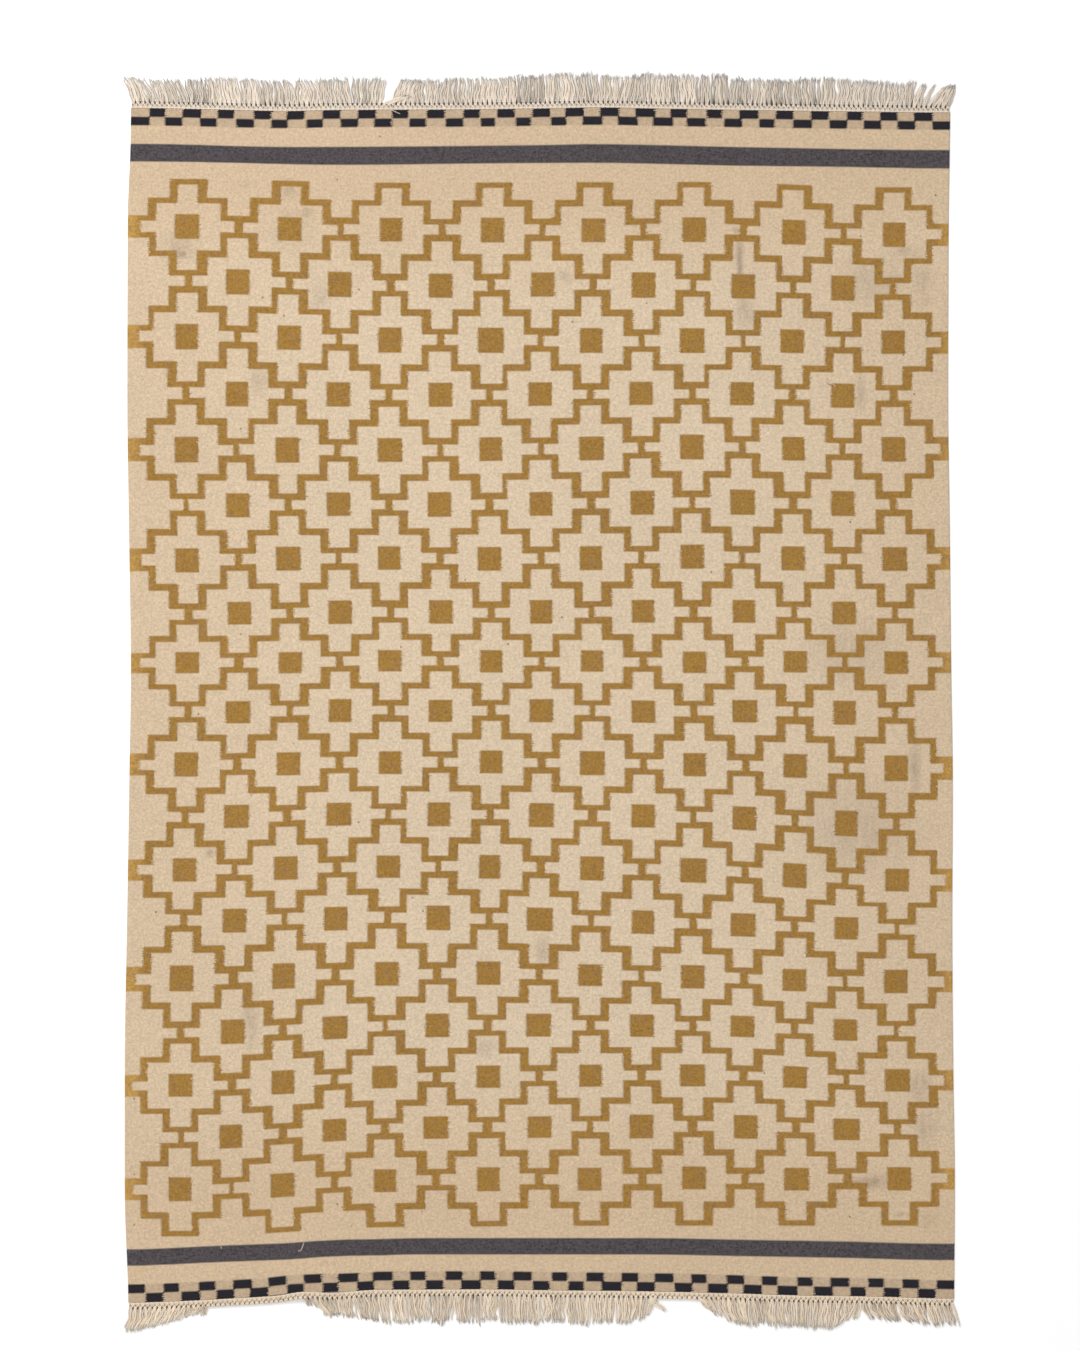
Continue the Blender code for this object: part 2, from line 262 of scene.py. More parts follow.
class Cloth:
    """Where the web's weft lines and warps lie, over and under."""

    def __init__(self):
        self.anchors = self.find_anchors()
        self.last_line = self.anchors[-1][0]
        self.lines = self.bending_lines()
        self.columns = self.find_stations()
        self.over, self.under = self.lay_out()

    def find_anchors(self):
        """Weft lines whose place is known: the line's number, its table and its distance from it."""
        ends = [
            (0, BOTTOM_END, 0.0),
            (CHECK_LINES, BOTTOM_END, CHECK_DEPTH),
            (2 * CHECK_LINES, BOTTOM_END, CHECKS_DEPTH),
            (2 * CHECK_LINES + 1, BOTTOM_BAND, -BOTTOM_BAND_WIDTH),
            (2 * CHECK_LINES + 2, BOTTOM_BAND, 0.0),
        ]
        first = 2 * CHECK_LINES + 3
        net = [(first, self.net_line(NET_ROWS[0]), -NET_TIP)]
        for row in NET_ROWS:
            line = first + TIP_LINES + ROW_LINES * (LAST_ROW - row.row)
            net.append((line, self.net_line(row), 0.0))
        last = net[-1][0] + TIP_LINES
        net.append((last, self.net_line(NET_ROWS[-1]), NET_TIP))
        top = [
            (last + 1, TOP_BAND_INNER, 0.0),
            (last + 2, TOP_BAND_OUTER, 0.0),
            (last + 3, TOP_END, -TOP_CHECKS_DEPTH),
            (last + 3 + CHECK_LINES, TOP_END, -TOP_CHECK_DEPTH),
            (last + 3 + 2 * CHECK_LINES, TOP_END, 0.0),
        ]
        return ends + net + top

    def net_line(self, row):
        return table("across along", *zip(NET_PLACES, row[1:]))

    def bending_lines(self):
        """The anchors, and lines between those that are far apart."""
        lines = []
        numbers = [anchor[0] for anchor in self.anchors]
        for low, high in zip(numbers, numbers[1:]):
            parts = max(1, round((high - low) / LINE_SPACING))
            lines.extend(low + (high - low) * part // parts for part in range(parts))
        return np.array(lines + [numbers[-1]], float)

    def find_stations(self):
        right = [WARPS - place for place in reversed(EDGE_STATIONS)]
        inner = np.arange(STATION_SPACING / 2, WARPS, STATION_SPACING)
        return np.array([*EDGE_STATIONS, *inner, *right])

    def along_of(self, line, across):
        """How far along the rug a weft line is, at places across it."""
        row = interval([anchor[0] for anchor in self.anchors], line)
        low_line, low_table, low_shift = self.anchors[row]
        high_line, high_table, high_shift = self.anchors[row + 1]
        share = (line - low_line) / (high_line - low_line)
        low = read(low_table, across, "along") + low_shift
        high = read(high_table, across, "along") + high_shift
        return low + (high - low) * share

    def lay_out(self):
        """The upper and lower face's points, by bending line and station."""
        over = np.zeros((len(self.lines), len(self.columns), 3))
        under = np.zeros_like(over)
        rounding = self.rounding()
        for row, line in enumerate(self.lines):
            edge = self.along_of(line, np.array([LEFT_SIDE]))
            left = read(SELVEDGES, edge, "left")[0]
            right = read(SELVEDGES, edge, "right")[0]
            across = left + (right - left) * self.columns / WARPS
            along = self.along_of(line, across)
            floor = lift_of(across, along) + wave_of(across, along)
            over[row] = np.stack([across, along, floor + WEB_THICKNESS * (1 - rounding)], 1)
            under[row] = np.stack([across, along, floor + WEB_THICKNESS * rounding], 1)
        return over, under

    def rounding(self):
        """How much of the thickness each face gives up at the rounded selvedges."""
        inwards = np.minimum(self.columns, WARPS - self.columns) / ROUNDED_WARPS
        return 0.5 * (1 - np.sqrt(1 - (1 - np.clip(inwards, 0, 1)) ** 2))

    def place(self, line, column, over):
        """Points of the upper or lower face, straight between the bending lines and stations."""
        grid = self.over if over else self.under
        row, up = self.between(self.lines, line)
        station, right = self.between(self.columns, column)
        low = grid[row, station] * (1 - right) + grid[row, station + 1] * right
        high = grid[row + 1, station] * (1 - right) + grid[row + 1, station + 1] * right
        return low * (1 - up) + high * up

    def between(self, places, at):
        """The interval that each value is in, and its share of the way along it."""
        row = interval(places, at)
        share = (at - places[row]) / (places[row + 1] - places[row])
        return row, share[:, None]

    def line_heights(self):
        """How far it is from each weft line to the next, at the middle of the rug."""
        lines = np.arange(self.last_line + 1, dtype=float)
        middle = self.place(lines, np.full(len(lines), WARPS / 2), True)
        return np.diff(middle[:, 1])


# Small unevenness of the hand weaving, in warps and weft lines
WEAVE_SEED = 5
COUNT_VARIATION = Cross(0.8, 0.3)
MIDDLE_VARIATION = Cross(0.6, 0.3)
CHECK_VARIATION = 1.3


def varied(value, variation, chance):
    return value + chance.uniform(-1, 1) * variation


def paint(colours, colour, middle, half, chance):
    """Colours one rectangle of a medallion, each side a thread or so out of true."""
    low = round(varied(middle.along - half.along, COUNT_VARIATION.along, chance))
    high = round(varied(middle.along + half.along, COUNT_VARIATION.along, chance))
    left = round(varied(middle.across - half.across, COUNT_VARIATION.across, chance))
    right = round(varied(middle.across + half.across, COUNT_VARIATION.across, chance))
    colours[max(low, 0) : max(high, 0), max(left, 0) : max(right, 0)] = colour


def medallions(chance):
    """The middles of all medallions, and of the hidden ones beyond the net that open it."""
    found = []
    for row in range(-1, LAST_ROW + 2):
        down = row / LAST_ROW
        first = WARPS * (FIRST_MEDALLION + FIRST_DRIFT * down)
        last = WARPS * (LAST_MEDALLION + LAST_DRIFT * down)
        pitch = (last - first) / (MEDALLIONS - 1)
        bow = COLUMN_BOW * max(0, 1 - row / BOWED_ROWS)
        along = TIP_LINES + ROW_LINES * (LAST_ROW - row)
        shifted = row % 2
        for number in range(-shifted, MEDALLIONS):
            across = first + pitch * (number + shifted / 2)
            across += bow * math.sin(math.pi * across / WARPS)
            across = varied(across, MIDDLE_VARIATION.across, chance)
            middle = Cross(across, varied(along, MIDDLE_VARIATION.along, chance))
            whole = 0 <= row <= LAST_ROW and 0 <= number < MEDALLIONS - shifted
            found.append((middle, whole, not shifted))
    return found


def net_colours(chance):
    """The net of stepped crosses, by weft line and warp."""
    lines = 2 * TIP_LINES + ROW_LINES * LAST_ROW
    colours = np.full((lines, WARPS), WOOL, np.int8)
    places = medallions(chance)
    for middle, whole, at_selvedge in places:
        if whole:
            for half in (*OUTER_CROSSES, SELVEDGE_ARM if at_selvedge else SIDE_ARM):
                paint(colours, MUSTARD, middle, half, chance)
    for middle, _, _ in places:
        for half in INNER_CROSSES:
            paint(colours, WOOL, middle, half, chance)
    for middle, whole, _ in places:
        if whole:
            paint(colours, MUSTARD, middle, SQUARE, chance)
    return colours


def check_row(first_colour, second_colour, chance):
    """One row of checks, each of which ends a warp or so out of true."""
    row = np.zeros((CHECK_LINES, WARPS), np.int8)
    evenly = [check * WARPS / CHECKS_ACROSS for check in range(1, CHECKS_ACROSS)]
    sides = [0, *(round(varied(side, CHECK_VARIATION, chance)) for side in evenly), WARPS]
    for check, (left, right) in enumerate(zip(sides, sides[1:])):
        row[:, left:right] = second_colour if check % 2 else first_colour
    return row


def woven_colours():
    """Every weft line's colours, from the bottom end to the top end."""
    chance = random.Random(WEAVE_SEED)
    plain = {colour: np.full((1, WARPS), colour, np.int8) for colour in (WOOL, CHARCOAL)}
    band = [plain[WOOL], plain[CHARCOAL], plain[WOOL]]
    bottom = [check_row(TAN, NAVY, chance), check_row(NAVY, TAN, chance)]
    net = [net_colours(chance)]
    top = [check_row(NAVY, TAN, chance), check_row(TAN, NAVY, chance)]
    return np.concatenate(bottom + band + net + band + top)


# How far the colours reach into each other: at a level join in metres, at an upright one in warps
JOIN_SEED = 8
TOOTH = 0.0008
SHORTEST_JOIN = 0.20
LONGEST_JOIN = 0.85
STRAY_JOINS = 0.16
STRAY_JOIN_GROWTH = 1.7

# Small slits stand open at some upright joins, and show the shaded warps. Widths in warps.
SLITS = 0.50
NARROWEST_SLIT = 0.20
WIDEST_SLIT = 0.60
LEAST_RUN = 0.02

FRONT, BACK, BOTTOM_RIM, TOP_RIM = KINDS = range(4)


class Weaver:
    """Collects the faces of each yarn colour, each face as two weft lines and two columns."""

    def __init__(self, cloth, colours):
        self.cloth = cloth
        self.colours = colours
        self.heights = cloth.line_heights()
        self.chance = random.Random(JOIN_SEED)
        self.bends = set(int(line) for line in cloth.lines)
        self.faces = {(colour, kind): [] for colour in YARN_COLOURS for kind in KINDS}

    def add_runs(self, kind, low, high, left, right, cells, first, join):
        """One weft line's runs of colour between two stations."""
        starts = np.flatnonzero(np.diff(cells)) + 1
        begins = [left]
        ends = []
        for start in starts:
            shift = join * self.chance.uniform(SHORTEST_JOIN, LONGEST_JOIN)
            if self.chance.random() < STRAY_JOINS:
                shift *= STRAY_JOIN_GROWTH
            slit = abs(join) * self.chance.uniform(NARROWEST_SLIT, WIDEST_SLIT)
            if self.chance.random() > SLITS:
                slit = 0.0
            place = max(first + start + shift, begins[-1] + LEAST_RUN)
            ends.append(min(place, right - LEAST_RUN))
            begins.append(min(ends[-1] + slit, right - LEAST_RUN / 2))
        ends.append(right)
        colours = [cells[0], *cells[starts]]
        for colour, begin, end in zip(colours, begins, ends):
            self.faces[colour, kind].append((low, high, begin, end))

    def add_plain(self, kind, low, high, left, right, cells, first):
        """Runs that several weft lines share, cut only where the cloth may bend."""
        inner = [line for line in range(math.floor(low) + 1, math.ceil(high)) if line in self.bends]
        cuts = [low, *inner, high]
        for start, end in zip(cuts, cuts[1:]):
            self.add_runs(kind, start, end, left, right, cells, first, 0)

    def teeth(self, line, below, above, left, right, first):
        """A level join: the two colours take turns, warp by warp."""
        turns = (np.arange(len(above)) + first) % 2 == 0
        cells = np.where(turns, above, below)
        low = line - TOOTH / self.heights[line - 1]
        high = line + TOOTH / self.heights[line]
        self.add_runs(FRONT, low, high, left, right, cells, first, 0)
        return low, high

    def weave_column(self, left, right):
        """All weft lines between two stations, front, back and both ends."""
        first = math.floor(left)
        cells = self.colours[:, first : math.ceil(right)]
        changed = np.flatnonzero((cells[1:] != cells[:-1]).any(1)) + 1
        bounds = [0, *changed, len(cells)]
        start = 0.0
        for low, high in zip(bounds, bounds[1:]):
            row = cells[low]
            end = float(high)
            begin = start
            if high < len(cells):
                end, start = self.teeth(high, row, cells[high], left, right, first)
            self.add_plain(BACK, low, high, left, right, row, first)
            if (row == row[0]).all():
                self.add_plain(FRONT, begin, end, left, right, row, first)
                continue
            for line in range(low, high):
                join = 1 if line % 2 else -1
                bottom = max(line, begin)
                top = min(line + 1, end)
                self.add_runs(FRONT, bottom, top, left, right, row, first, join)
        self.add_runs(BOTTOM_RIM, 0, 0, left, right, cells[0], first, 0)
        self.add_runs(TOP_RIM, len(cells), len(cells), left, right, cells[-1], first, 0)

    def weave(self):
        for left, right in zip(self.cloth.columns, self.cloth.columns[1:]):
            self.weave_column(left, right)


# The baking map: the part of the floor that it covers, its front and back halves, and its rims
MAP_CORNER = (-0.83, -1.19)
MAP_SIZE = (1.66, 2.37)
FRONT_SHARE = 0.72
BACK_START = 0.74
BACK_SHARE = 0.26
RIM_ON_MAP = {BOTTOM_RIM: -0.002, TOP_RIM: 0.002}


def baking_map(points, kind, upper):
    """Where points of the cloth fall in the baking map."""
    flat = (points[:, :2] - MAP_CORNER) / MAP_SIZE
    if kind == BACK:
        flat[:, 0] = BACK_START + BACK_SHARE * flat[:, 0]
    else:
        flat[:, 0] = FRONT_SHARE * flat[:, 0]
    if kind in RIM_ON_MAP and not upper:
        flat[:, 1] += RIM_ON_MAP[kind]
    return flat


def face_corners(cloth, kind, faces):
    """A face list's corner points and their places in the baking map."""
    low, high, left, right = np.array(faces, float).T
    lines, columns, over = {
        FRONT: ((low, low, high, high), (left, right, right, left), (1, 1, 1, 1)),
        BACK: ((high, high, low, low), (left, right, right, left), (0, 0, 0, 0)),
        BOTTOM_RIM: ((low, low, low, low), (left, right, right, left), (0, 0, 1, 1)),
        TOP_RIM: ((low, low, low, low), (right, left, left, right), (0, 0, 1, 1)),
    }[kind]
    corners = [cloth.place(*corner) for corner in zip(lines, columns, over)]
    places = [baking_map(points, kind, upper) for points, upper in zip(corners, over)]
    return np.stack(corners, 1), np.stack(places, 1)


def mesh_object(name, points, face_groups, material, maps=()):
    """An object from points and arrays of faces, each array with its own number of corners."""
    mesh = bpy.data.meshes.new(name)
    corners = np.concatenate([group.ravel() for group in face_groups]).astype(np.int32)
    totals = np.concatenate([np.full(len(g), g.shape[1], np.int32) for g in face_groups])
    starts = np.concatenate([[0], np.cumsum(totals)[:-1]]).astype(np.int32)
    mesh.vertices.add(len(points))
    mesh.vertices.foreach_set("co", np.asarray(points, np.float32).ravel())
    mesh.loops.add(len(corners))
    mesh.loops.foreach_set("vertex_index", corners)
    mesh.polygons.add(len(totals))
    mesh.polygons.foreach_set("loop_start", starts)
    mesh.polygons.foreach_set("use_smooth", np.ones(len(totals), bool))
    mesh.update(calc_edges=True)
    for map_name, values in maps:
        layer = mesh.uv_layers.new(name=map_name)
        layer.data.foreach_set("uv", np.asarray(values, np.float32).ravel())
    mesh.validate()
    mesh.materials.append(material)
    return link(name, mesh)


def link(name, data):
    made = bpy.data.objects.new(name, data)
    bpy.context.scene.collection.objects.link(made)
    return made


# Points that are the same to this many parts of a metre are one point
MERGING = 1e6


def woven_object(name, weaver, colour, material):
    """All faces of one yarn colour as one mesh, smooth but for the edges of its rims."""
    corners = []
    places = []
    on_rims = []
    for kind in KINDS:
        faces = weaver.faces[colour, kind]
        if faces:
            points, flat = face_corners(weaver.cloth, kind, faces)
            corners.append(points)
            places.append(flat)
            on_rims.append(np.full(len(faces) * 4, int(kind in RIM_ON_MAP)))
    corners = np.concatenate(corners).reshape(-1, 3)
    places = np.concatenate(places).reshape(-1, 2)
    rounded = np.round(corners * MERGING).astype(np.int64)
    keys = np.concatenate([rounded, np.concatenate(on_rims)[:, None]], 1)
    _, first, numbers = np.unique(keys, axis=0, return_index=True, return_inverse=True)
    faces = numbers.reshape(-1, 4)
    return mesh_object(name, corners[first], [faces], material, [("OFBake", places)])


# How far inside the weave the slab of warps is: in warps, in weft lines, and as a share of the thickness
SLAB_SIDE = 4.0
SLAB_END = 1.5
SLAB_DEPTH = 0.3


def make_warps(cloth, material):
    """The cotton warps inside the weave: a thin closed slab that no face of it reaches."""
    inner = cloth.columns[len(EDGE_STATIONS) : -len(EDGE_STATIONS)]
    columns = np.array([SLAB_SIDE, *inner, WARPS - SLAB_SIDE])
    lines = np.array([SLAB_END, *cloth.lines[1:-1], cloth.last_line - SLAB_END])
    grid_lines, grid_columns = (grid.ravel() for grid in np.meshgrid(lines, columns, indexing="ij"))
    over = cloth.place(grid_lines, grid_columns, True)
    under = cloth.place(grid_lines, grid_columns, False)
    inside = (over - under) * SLAB_DEPTH
    points = np.concatenate([over - inside, under + inside])
    below = len(over)
    number = np.arange(below).reshape(len(lines), len(columns))
    corners = [number[:-1, :-1], number[:-1, 1:], number[1:, 1:], number[1:, :-1]]
    upper = np.stack([corner.ravel() for corner in corners], 1)
    lower = upper[:, ::-1] + below
    border = np.concatenate([number[0], number[1:, -1], number[-1, -2::-1], number[-2::-1, 0]])
    start, end = border[:-1], border[1:]
    wall = np.stack([start + below, end + below, end, start], 1)
    return mesh_object("web_warps", points, [np.concatenate([upper, lower, wall])], material)


# The fringe's cord and knots
KNOTS = 170
YARNS = 4
CORNER_INSET = 0.001
CORD_OUT = 0.0023
CORD_HEIGHT = 0.0022
CORD_TONE = 0.96
PLY_RADIUS = 0.00135
PLY_OFFSET = 0.0008
PLY_FLATNESS = 0.8
STEPS_A_KNOT = 4
KNOT_ROWS = table("out radius shift", (0.0062, 0.00155, 0.5), (0.0104, 0.00140, 0.0))
KNOT_INSET = 0.002
KNOT_STEPS = 6
KNOT_HALF_LENGTH = 0.0029
KNOT_LENGTHS = (0.9, 1.12)
KNOT_TILT = 30
KNOT_TILTS = (-9, 9)
KNOT_TONES = (0.94, 1.18)
KNOT_SPACING = 1.02
KNOT_FOOT = 0.0013
KNOT_RISE = 0.0017
KNOT_ROUNDNESS = 0.96
KNOT_END = 0.55

# How many sides the tubes have
YARN_SIDES = 5
STRIP_SIDES = 4
FIBRE_SIDES = 3
FOLD_SIDES = 6

# Strips under the knots: pale beside the cord, and painted dark further out, as the knots' shade
STRIP_RADIUS = 0.0011
STRIP_STEPS = 220
DEEP_SHADE = 0.12
STRIPS = table(
    "out height tone",
    (0.0036, 0.0016, 0.86),
    (0.0052, 0.0014, 0.80),
    (0.0074, 0.0007, DEEP_SHADE),
    (0.0094, 0.0007, DEEP_SHADE),
    (0.0114, 0.0007, DEEP_SHADE),
    (0.0132, 0.0007, DEEP_SHADE),
)

# How many knots' yarns lie together, and how wide a knot's yarns lie as shares of the pitch
CLUMP_SIZES = (1, 2, 2, 3, 3, 4, 5, 7)
ROOT_SPREAD = 0.20
OPEN_SPREAD = 0.26

# How each end's yarns fall together, each as least and most. "draw" is how far a clump's yarns
# draw to its middle and "closing" how far a knot's yarns close again at their tips, as shares.
Habit = namedtuple("Habit", "draw lean reach sway closing")
TOP_HABIT = Habit((0.00, 0.25), (-0.0032, 0.0032), (-0.003, 0.003), (-0.0026, 0.0026), (0.0, 0.5))
BOTTOM_HABIT = Habit((0.00, 0.30), (-0.0042, 0.0042), (-0.004, 0.004), (-0.0030, 0.0030), (0.0, 0.7))

# What differs from clump to clump and from yarn to yarn: least and most, or how far it scatters
CLUMP_CYCLES = (0.8, 1.4)
CLUMP_LAYERS = (0, 0.0012)
CLUMP_TONES = (0.93, 1.03)
YARN_SWAYS = (0.0003, 0.0012)
YARN_CYCLES = (1.0, 2.4)
YARN_LAYERS = (0, 0.0022)
YARN_TONES = (0.90, 1.06)
YARN_RADII = (0.80, 1.12)
LEAN_SCATTER = 0.0015
REACH_SCATTER = 0.0022

# Parts of the fringe that have been swept aside, over their neighbours
SWEPT_LAYER = 0.0020
SWEPT_SCATTER = 0.0015
TOP_SWEEPS = table(
    "left right lean reach",
    (-0.307, -0.288, 0.040, 0.015),
    (0.722, 0.732, 0.017, 0.040),
)
BOTTOM_SWEEPS = table("left right lean reach", (0.213, 0.223, 0.026, 0.026))

# A loose yarn: its size, and the shares of its length by which it has opened, settled and so on.
# A taper is shares of the length, and the shares of the radius that are left there.
YARN_RADIUS = 0.00150
YARN_STEPS = 11
YARN_TAPER = ((0, 0.1, 0.72, 0.90), (0.80, 1.0, 0.95, 0.60))
YARN_STOP = 0.90
OPENED_BY = 0.35
CLOSING_FROM = 0.45
SETTLED_BY = 0.30
LEVEL_BY = 0.68
ROOT_INSIDE = 0.0015
ROOT_HEIGHT = 0.0026
RIPPLE = 0.0004
RIPPLE_TURN = 9
RIPPLE_PHASE = 3
RAW_FROM = 0.6
RAW_OVER = 0.5

# The shade among the yarns. A buried yarn's root is darker, and dark for longer, than one on top.
TOP_LAYER = 0.0028
LOWEST_TONE = 0.63
TONE_GAIN = 0.44
ROOT_SHADE = 0.05
BURIED_SHADE = 0.65
ROOT_SHADE_REACH = 0.12
BURIED_SHADE_REACH = 0.45

# The thin fibres of the raw tips, with their starts and stops as shares of the yarn
FIBRES = 3
FIBRE_STEPS = 5
FIBRE_RADIUS = 0.00060
FIBRE_TAPER = ((0, 0.5, 1), (1.0, 0.95, 0.5))
FIBRE_STARTS = (0.62, 0.80)
FIBRE_STOPS = (0.92, 1.03)
FIBRE_SCATTER = 0.0013
FIBRE_CURL = 1.3
FIBRE_RISES = (-0.0008, 0.0010)
FIBRE_RAWNESS = 0.35

# Stretches where more of the gaps between knots hold short dark tubes, painted shade deep among the
# yarns
TOP_SHADE = table("left right", (-0.54, -0.45), (0.17, 0.21), (0.31, 0.63))
SHADED_GAPS = 0.65
OTHER_SHADED_GAPS = 0.15
SHADED_INSET = 0.01
SHADED_REACH = 0.26
SHADED_HEIGHT = 0.0016
SHADED_RADII = (0.0013, 0.0013, 0.0012, 0.0010, 0.0005)

# A yarn folded under the rug, point by point: how far out, how far that swells, how much of the
# tuck's reach it has run back, how much of the heading's height it still has, and its radius
FOLD = table(
    "out swell back height radius",
    (-0.0015, 0.0, 0.0, 1.0, 0.00110),
    (0.0, 0.0008, 0.0, 1.0, 0.00125),
    (0.0, 0.0022, 0.0, 0.72, 0.00125),
    (0.0, 0.0024, 0.0, 0.42, 0.00120),
    (0.0, 0.0012, 0.0, 0.2, 0.00110),
    (-0.004, 0.0, 0.0, 0.0, 0.00100),
    (0.0, 0.0, -0.5, 0.0, 0.00090),
    (0.0, 0.0, -1.0, 0.0, 0.00070),
)
FOLD_SPREAD = 0.30
FOLD_REACHES = (0.8, 1.0)
FOLD_SWELLS = (0.7, 1.25)
FOLD_TONES = (0.84, 1.02)
FOLD_LOWEST = 0.0011

End = namedtuple("End", "line lifts outward tucks lays sweeps shade habit seed")
TOP = End(
    line=TOP_END,
    lifts=TOP_LIFTS,
    outward=1,
    tucks=(),
    lays=TOP_LAY,
    sweeps=TOP_SWEEPS,
    shade=TOP_SHADE,
    habit=TOP_HABIT,
    seed=21,
)
BOTTOM = End(
    line=BOTTOM_END,
    lifts=BOTTOM_LIFTS,
    outward=-1,
    tucks=BOTTOM_TUCKS,
    lays=BOTTOM_LAY,
    sweeps=BOTTOM_SWEEPS,
    shade=(),
    habit=BOTTOM_HABIT,
    seed=22,
)

CENTIMETRES = 100
FLOOR_GAP = 0.0001
LEAST_LENGTH = 1e-9


class Yarns:
    """Collects tubes, and joins them in one mesh with a map that runs along each tube."""

    def __init__(self):
        self.points = []
        self.quads = []
        self.caps = {}
        self.quad_maps = []
        self.cap_maps = {}
        self.tones = []
        self.ends = []
        self.count = 0

    def add(self, paths, radii, sides, tone, tip, up=(0, 0, 1)):
        """Tubes along paths (tube, point, xyz), with a radius, tone and rawness for each point."""
        tubes, steps = paths.shape[:2]
        along = np.gradient(paths, axis=1)
        along /= np.linalg.norm(along, axis=2, keepdims=True)
        side = np.cross(along, np.array(up, float))
        side /= np.maximum(np.linalg.norm(side, axis=2, keepdims=True), LEAST_LENGTH)
        rise = np.cross(side, along)
        turn = np.arange(sides) * 2 * math.pi / sides
        ring = side[:, :, None] * np.cos(turn)[:, None] + rise[:, :, None] * np.sin(turn)[:, None]
        points = paths[:, :, None] + ring * np.broadcast_to(radii, (tubes, steps))[:, :, None, None]
        points[..., 2] = np.maximum(points[..., 2], FLOOR_GAP)
        number = np.arange(tubes * steps * sides).reshape(tubes, steps, sides) + self.count
        following = np.roll(number, -1, axis=2)
        corners = [number[:, :-1], following[:, :-1], following[:, 1:], number[:, 1:]]
        self.quads.append(np.stack([corner.ravel() for corner in corners], 1)[:, ::-1])
        spans = np.linalg.norm(np.diff(paths, axis=1), axis=2)
        lengths = np.concatenate([np.zeros((tubes, 1)), np.cumsum(spans, axis=1)], axis=1)
        self.quad_maps.append(self.tube_map(lengths, tubes, steps, sides)[:, ::-1])
        self.caps.setdefault(sides, []).extend([number[:, 0, :], number[:, -1, ::-1]])
        flat = np.zeros((2 * tubes, sides, 2))
        flat[..., 0] = np.arange(sides) / sides
        flat[tubes:, :, 1] = lengths[:, -1:] * CENTIMETRES
        self.cap_maps.setdefault(sides, []).append(flat)
        self.points.append(points.reshape(-1, 3))
        for kept, values in ((self.tones, tone), (self.ends, tip)):
            each = np.broadcast_to(values, (tubes, steps))[:, :, None]
            kept.append(each.repeat(sides, 2).ravel())
        self.count += points.size // 3

    def tube_map(self, lengths, tubes, steps, sides):
        """Each quad's corners as turns round the tube and centimetres along it."""
        around = np.arange(sides + 1) / sides
        left = np.broadcast_to(around[:-1], (tubes, steps - 1, sides))
        right = np.broadcast_to(around[1:], (tubes, steps - 1, sides))
        low = np.broadcast_to(lengths[:, :-1, None] * CENTIMETRES, left.shape)
        high = np.broadcast_to(lengths[:, 1:, None] * CENTIMETRES, left.shape)
        corners = [(left, low), (right, low), (right, high), (left, high)]
        return np.stack([np.stack([u.ravel(), v.ravel()], 1) for u, v in corners], 1)

    def make(self, name, material):
        faces = [np.concatenate(self.quads)]
        flat = [np.concatenate(self.quad_maps).reshape(-1, 2)]
        for sides, caps in self.caps.items():
            faces.append(np.concatenate(caps))
            flat.append(np.concatenate(self.cap_maps[sides]).reshape(-1, 2))
        maps = [("yarn", np.concatenate(flat))]
        made = mesh_object(name, np.concatenate(self.points), faces, material, maps)
        for attribute, values in (("tone", self.tones), ("raw", self.ends)):
            layer = made.data.attributes.new(attribute, "FLOAT", "POINT")
            layer.data.foreach_set("value", np.concatenate(values).astype(np.float32))
        return made


def path_of(across, along, height):
    return np.stack(np.broadcast_arrays(across, along, height), -1)


def in_stretches(roots, stretches):
    """Which roots are in one of the stretches."""
    found = np.zeros(len(roots), bool)
    for stretch in stretches:
        found |= (roots > stretch.left) & (roots < stretch.right)
    return found


def corner_of(line, side):
    """How far across the web's corner is."""
    return float(read(SELVEDGES, np.array([line[0].along]), side)[0])


